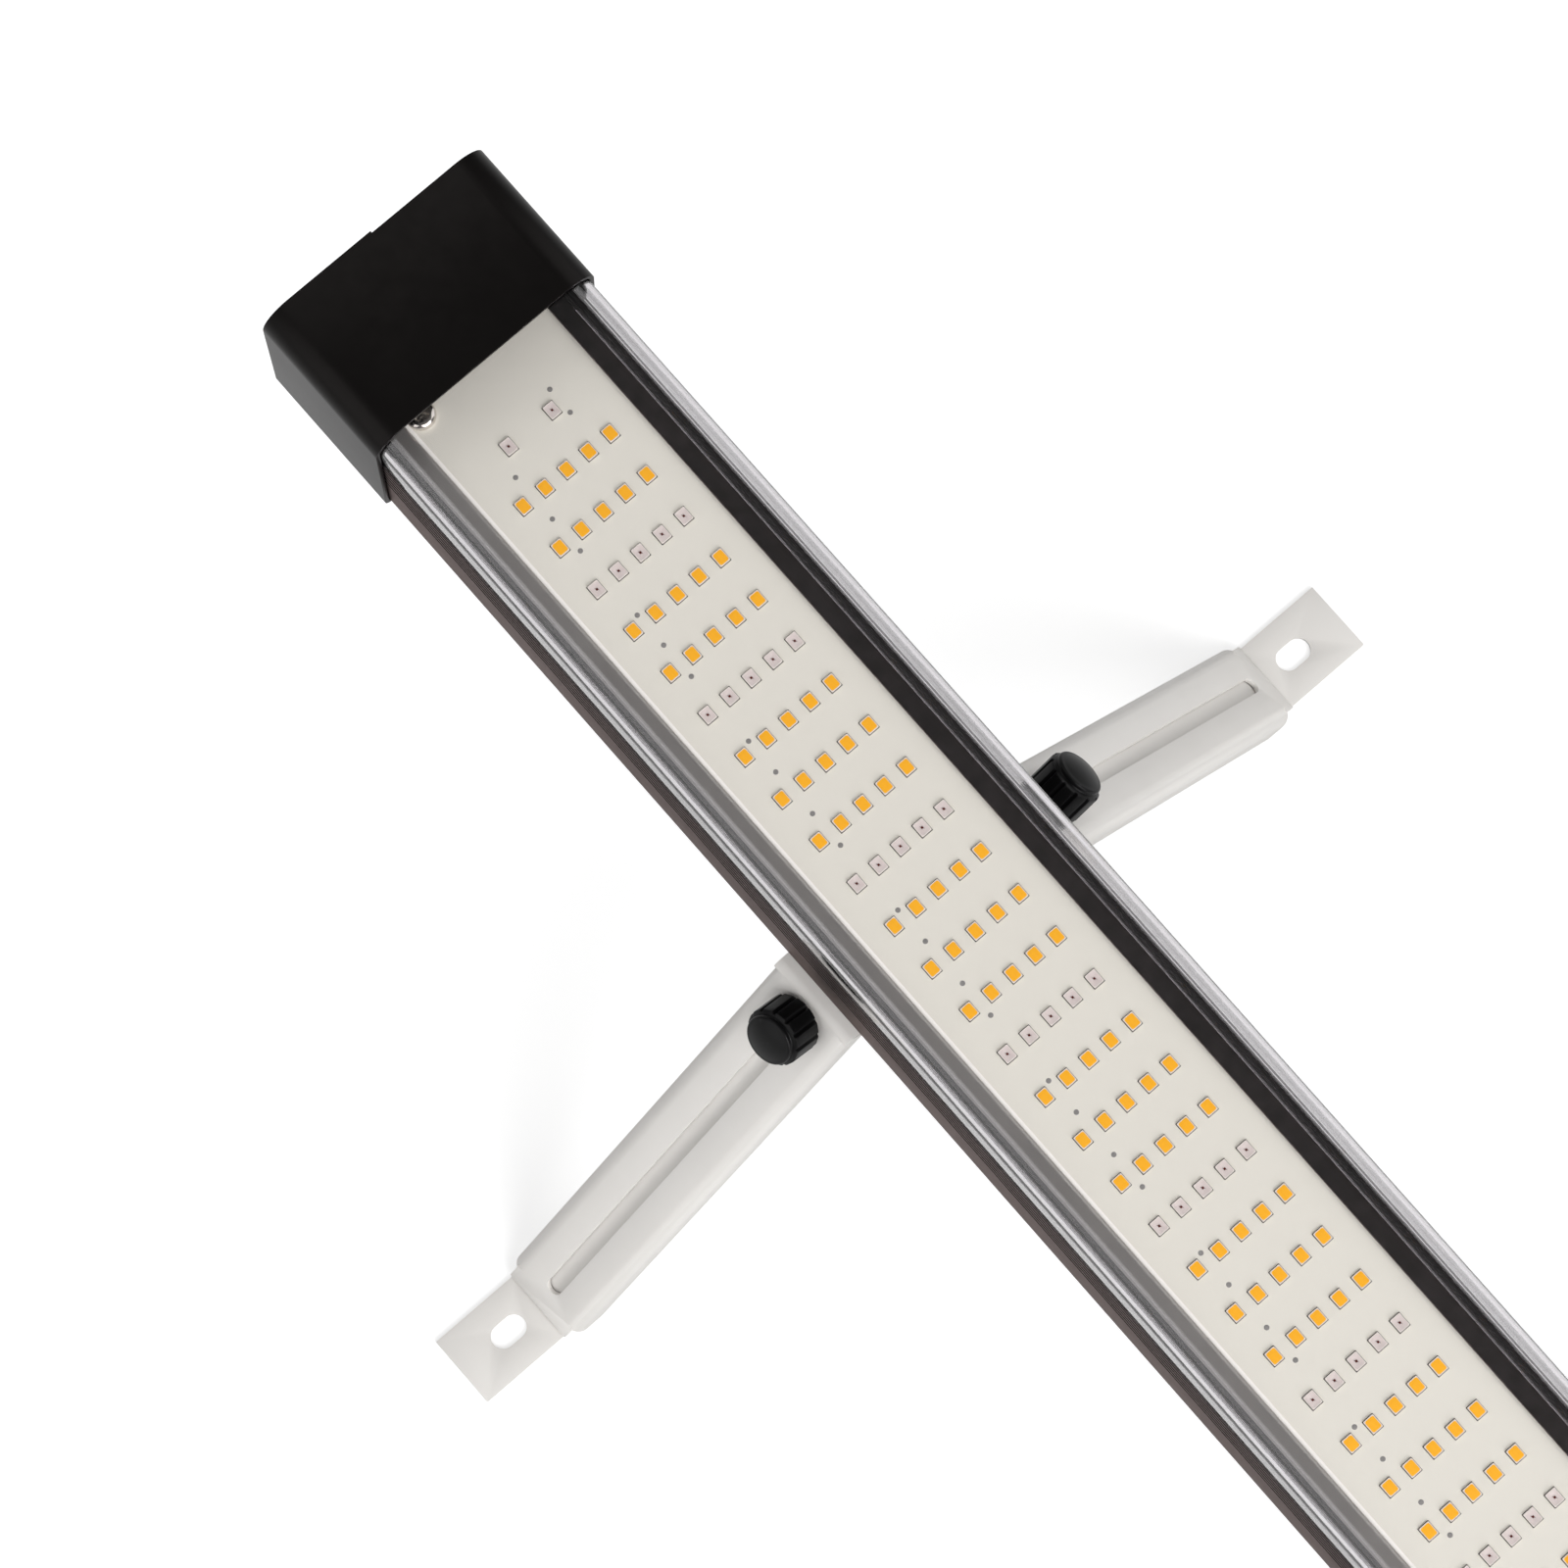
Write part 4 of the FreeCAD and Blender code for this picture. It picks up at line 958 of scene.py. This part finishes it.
# Painted shadow: the dark rims round every package's foot.
add_piece("solder_shadow_rims", joined(spread([solder_shadow_rim()], white_places + red_places)), "bar",
          [], "bright_steel", solder_shadow)
print("packages done")

# %% [markdown]
# ## Test points on the board
#
# Small round bare pads stand between the rows, in a pattern that repeats every four rows.  They are
# thin discs with a soft edge.  Modelled, they keep their place and size at any distance.  Along one long
# edge of the board runs a painted highlight, a thin glowing strip pulled along the whole board.

# %% Test points
ROW_PITCH = white_places[5][0] - white_places[0][0]
POINT_RADIUS = 0.62
POINT_RISE = 0.03
POINT_STEPS = 20


def disc(radius, rise, steps):
    """Flat round pad with a bevelled edge."""
    rings = []
    for scale, height in ((1.0, 0.001), (1.0, rise * 0.6), (0.9, rise)):
        rings.append(at_height(circle(radius * scale, steps), height))
    return stacked(rings)


POINT_Y = -9.8
START_POINTS = (-6.2, 6.4, 16.0, 35.4, 44.4, 53.8)
GROUP_POINTS = (-2.2, 7.0, 19.4, 28.8)
FIRST_GROUP_ROW = 6
GROUP_ROWS = 4
LONE_POINTS = ((-16.6, 9.2), (-9.6, 9.2))
first_row_x = white_places[0][0]
last_row_x = white_places[-1][0]


def point_places():
    """Every test point, counted from the first row of packages."""
    places = [(first_row_x + x, y) for x, y in LONE_POINTS]
    places += [(first_row_x + x, POINT_Y) for x in START_POINTS]
    group_x = first_row_x + FIRST_GROUP_ROW * ROW_PITCH
    while group_x < last_row_x:
        places += [(group_x + x, POINT_Y) for x in GROUP_POINTS if group_x + x < last_row_x + ROW_PITCH]
        group_x += GROUP_ROWS * ROW_PITCH
    return places


# Place of the glowing strip of painted highlight across the board, in millimetres.
HIGHLIGHT_OUT = -20.9
HIGHLIGHT_IN = -20.05
HIGHLIGHT_RISE = 0.04
HIGHLIGHT_EDGE = 0.02


def painted_highlight_strip():
    """Painted highlight: a thin glowing strip along one long edge of the board."""
    low, high = board_plane + 0.001, board_plane + HIGHLIGHT_RISE
    side = high - HIGHLIGHT_EDGE
    outline = [(HIGHLIGHT_OUT, low), (HIGHLIGHT_IN, low), (HIGHLIGHT_IN, side), (HIGHLIGHT_IN - 0.05, high),
               (HIGHLIGHT_OUT + 0.05, high), (HIGHLIGHT_OUT, side)]
    return pulled(outline, board_high.x / MM)


# Painted highlight: the glowing strip along one long edge of the board.
add_piece("board_painted_highlight", joined([painted_highlight_strip()]), "bar", [], "white_board", painted_highlight)
point_mesh = joined(spread([disc(POINT_RADIUS, POINT_RISE, POINT_STEPS)], point_places()))
add_piece("test_points", point_mesh, "bar", [], "bright_steel", test_point)
print(len(point_places()), "test points; row pitch", round(ROW_PITCH, 3), "mm")

# %% [markdown]
# ## Screws with a cross recess
#
# A pan head is a dome with a cross pressed into it.  The head is a polar grid whose height is the dome
# less the recess, so there is no boolean and the recess walls slope as a punch leaves them.  The thread
# is a stack of rings.  The same function makes the board's screws and the cap's screws at their CAD
# sizes.

# %% Screw shape
RECESS_ARM = 0.13
RECESS_REACH = 0.52
RECESS_SLOPE = 0.05
SCREW_SIDES = 72
HEAD_RINGS = 30
THREAD_PITCH = 0.7
THREAD_ROOT = 0.86
SHANK_SHARE = 0.5               # of the head's radius
CROWN_SHARE = 0.10              # of the head's height


def smooth_step(low, high, value):
    """Zero below low, one above high, smooth between."""
    share = min(max((value - low) / (high - low), 0.0), 1.0)
    return share * share * (3 - 2 * share)


def recess_share(across, up):
    """How deep the cross is at a place on a head of radius 1, from 0 to 1."""
    depth = 0.0
    for along, aside in ((abs(across), abs(up)), (abs(up), abs(across))):
        wide = 1 - smooth_step(RECESS_ARM, RECESS_ARM + RECESS_SLOPE, aside)
        long = 1 - smooth_step(RECESS_REACH - 2 * RECESS_SLOPE, RECESS_REACH, along)
        depth = max(depth, wide * long)
    return depth


def screw(head_radius, head_height, shank_length, edge_round, recess_depth):
    """Pan-head screw along +Z with its seat at zero."""
    shank_radius = head_radius * SHANK_SHARE
    levels = [(shank_radius, -shank_length)]
    turns = int(shank_length / THREAD_PITCH)
    for turn in range(turns):
        for share, radius in ((0.1, shank_radius * THREAD_ROOT), (0.6, shank_radius)):
            levels.append((radius, -shank_length + (turn + share) * shank_length / turns))
    levels += [(shank_radius, -0.02), (head_radius * 0.97, 0.0), (head_radius, head_height * 0.08)]
    rings = [at_height(circle(radius, SCREW_SIDES), z) for radius, z in levels]
    for step in range(HEAD_RINGS + 1):
        share = 1 - (step / HEAD_RINGS) ** 0.9 * 0.985
        fall = edge_round * (1 - math.sqrt(max(1 - share ** 6, 0.0)))
        crown = head_height * CROWN_SHARE * share ** 2
        ring = []
        for across, up in circle(share, SCREW_SIDES):
            z = head_height - fall - crown - recess_depth * recess_share(across, up)
            ring.append((across * head_radius, up * head_radius, z))
        rings.append(ring)
    return stacked(rings)


# %% Put the screws in
def screw_group(node_name, turn_of, material, head_radius, head_height, edge_round, recess_depth):
    """One piece for a CAD node's screws, each built inside its CAD solid's box."""
    parts = []
    for low, high in solid_boxes(node_name):
        middle = (low + high) / 2
        turn = turn_of(middle)
        axis = turn @ Vector((0, 0, 1))
        length = abs((high - low).dot(axis))
        tip = middle - axis * (length / 2)
        shank_length = length - head_height
        part = screw(head_radius, head_height, shank_length, edge_round, recess_depth)
        parts.append(moved(part, tip + axis * shank_length, turn))
    add_piece(node_name + "_pan_head", joined(parts), "bar", [node_name], "bright_steel", material)
    print(node_name, len(parts), "screws")


def facing_up(middle):
    """Head towards +Z, cross turned as it came to rest."""
    return Matrix.Rotation(math.radians(24 + middle.x), 3, "Z")


def facing_out(middle):
    """Head towards the nearer end of the bar."""
    return Matrix.Rotation(math.copysign(math.pi / 2, middle.x), 3, "Y")


screw_group("board_screws", facing_up, polished_steel,
            head_radius=3.6, head_height=2.2, edge_round=1.3, recess_depth=1.1)
screw_group("cap_screws", facing_out, plated_steel,
            head_radius=2.8, head_height=1.0, edge_round=0.5, recess_depth=0.7)

# %% [markdown]
# ## Knobs
#
# A clamping knob is moulded in black plastic: a ring of flat grip pads with narrow grooves between, a
# stepped neck, and a smooth domed disc on top.  It is turned work apart from the pads, so the mesh is a
# stack of rings whose radius changes with the angle.  Each knob's place and axis come from its joint,
# and its height from the CAD knob, so a knob that turns stays centred on its stud.

# %% Knob shape
PAD_COUNT = 12
PAD_RADIUS = 7.2
GROOVE_RADIUS = 6.62
PAD_STEPS = 12
DISC_RADIUS = 5.95
RIM_RADIUS = 6.2
RIM_ROUND = 0.75
KNOB_BORE = 2.0
BORE_DEPTH = 5.0
NECK_SHARE = 0.775
SHOULDER_SHARE = 0.80
RIM_SHARE = 0.90
# Height above the base as a share of the whole, and how far the pads stand out there.
PAD_LEVELS = ((0.0, 0.0), (0.006, 0.55), (0.03, 0.95), (0.07, 1.0), (0.60, 1.0), (0.70, 1.0), (0.728, 0.9),
              (0.745, 0.55), (0.752, 0.0))


def pad_outline(stand):
    """Ring of grip pads; stand of 0 is a plain circle and 1 is full pads."""
    points = []
    for index in range(PAD_COUNT * PAD_STEPS):
        share = (index % PAD_STEPS) / PAD_STEPS - 0.5
        angle = math.tau * index / (PAD_COUNT * PAD_STEPS)
        flat = math.cos(math.pi / PAD_COUNT) / math.cos(math.tau / PAD_COUNT * share * 0.9)
        edge = 1 - smooth_step(0.36, 0.46, abs(share))
        radius = GROOVE_RADIUS + (PAD_RADIUS * min(flat * 1.03, 1.0) - GROOVE_RADIUS) * edge * stand
        points.append((radius * math.cos(angle), radius * math.sin(angle)))
    return points


def plain_ring(radius, height):
    """Plain ring with as many points as the pads have."""
    return at_height(circle(radius, PAD_COUNT * PAD_STEPS), height)


def knob_shape(height):
    """Knob along +Z from its base, as high as the CAD knob."""
    rings = [plain_ring(KNOB_BORE, BORE_DEPTH), plain_ring(KNOB_BORE, 0.0),
             plain_ring(GROOVE_RADIUS - 0.4, 0.0)]
    rings += [at_height(pad_outline(stand), share * height) for share, stand in PAD_LEVELS]
    neck, shoulder = NECK_SHARE * height, SHOULDER_SHARE * height
    steps = ((GROOVE_RADIUS - 0.15, neck - 0.12), (GROOVE_RADIUS - 0.6, neck),
             (DISC_RADIUS - 0.1, shoulder), (DISC_RADIUS + 0.2, shoulder + 0.12),
             (RIM_RADIUS, shoulder + 0.4))
    rings += [plain_ring(radius, z) for radius, z in steps]
    rim_low = RIM_SHARE * height - RIM_ROUND * 0.6
    rim_high = rim_low + RIM_ROUND * 0.8
    for step in range(1, 8):
        angle = math.pi / 2 * step / 7
        radius = RIM_RADIUS - RIM_ROUND * (1 - math.cos(angle))
        rings.append(plain_ring(radius, rim_low + RIM_ROUND * math.sin(angle) * 0.8))
    for step in range(1, 9):
        share = 1 - step / 8 * 0.96
        z = height - (height - rim_high) * share ** 2
        rings.append(plain_ring((RIM_RADIUS - RIM_ROUND) * share, z))
    return stacked(rings)


# %% Put the knobs on their studs
knob_joints = {joint["name"]: joint for joint in frame["joints"]}
for corner in CORNERS:
    joint = knob_joints["knob_turn_" + corner]
    pivot = Vector(joint["pos_m"])
    axis = Vector(joint["axis"]).normalized()
    if axis.z < 0:
        axis = -axis
    vertices = frame["nodes"]["knob_" + corner].data.vertices
    heights = [(vertex.co - pivot).dot(axis) / MM for vertex in vertices]
    knob_height = max(heights) - min(heights)
    base = pivot / MM + axis * min(heights)
    turn = axis.to_track_quat("Z", "X").to_matrix()
    mesh = joined([moved(knob_shape(knob_height), base, turn)])
    add_piece("grip_knob_" + corner, mesh, "knob_" + corner, ["knob_" + corner], "knob_plastic",
              knob_moulding)
    print("knob", corner, "height", round(knob_height, 2), "mm")
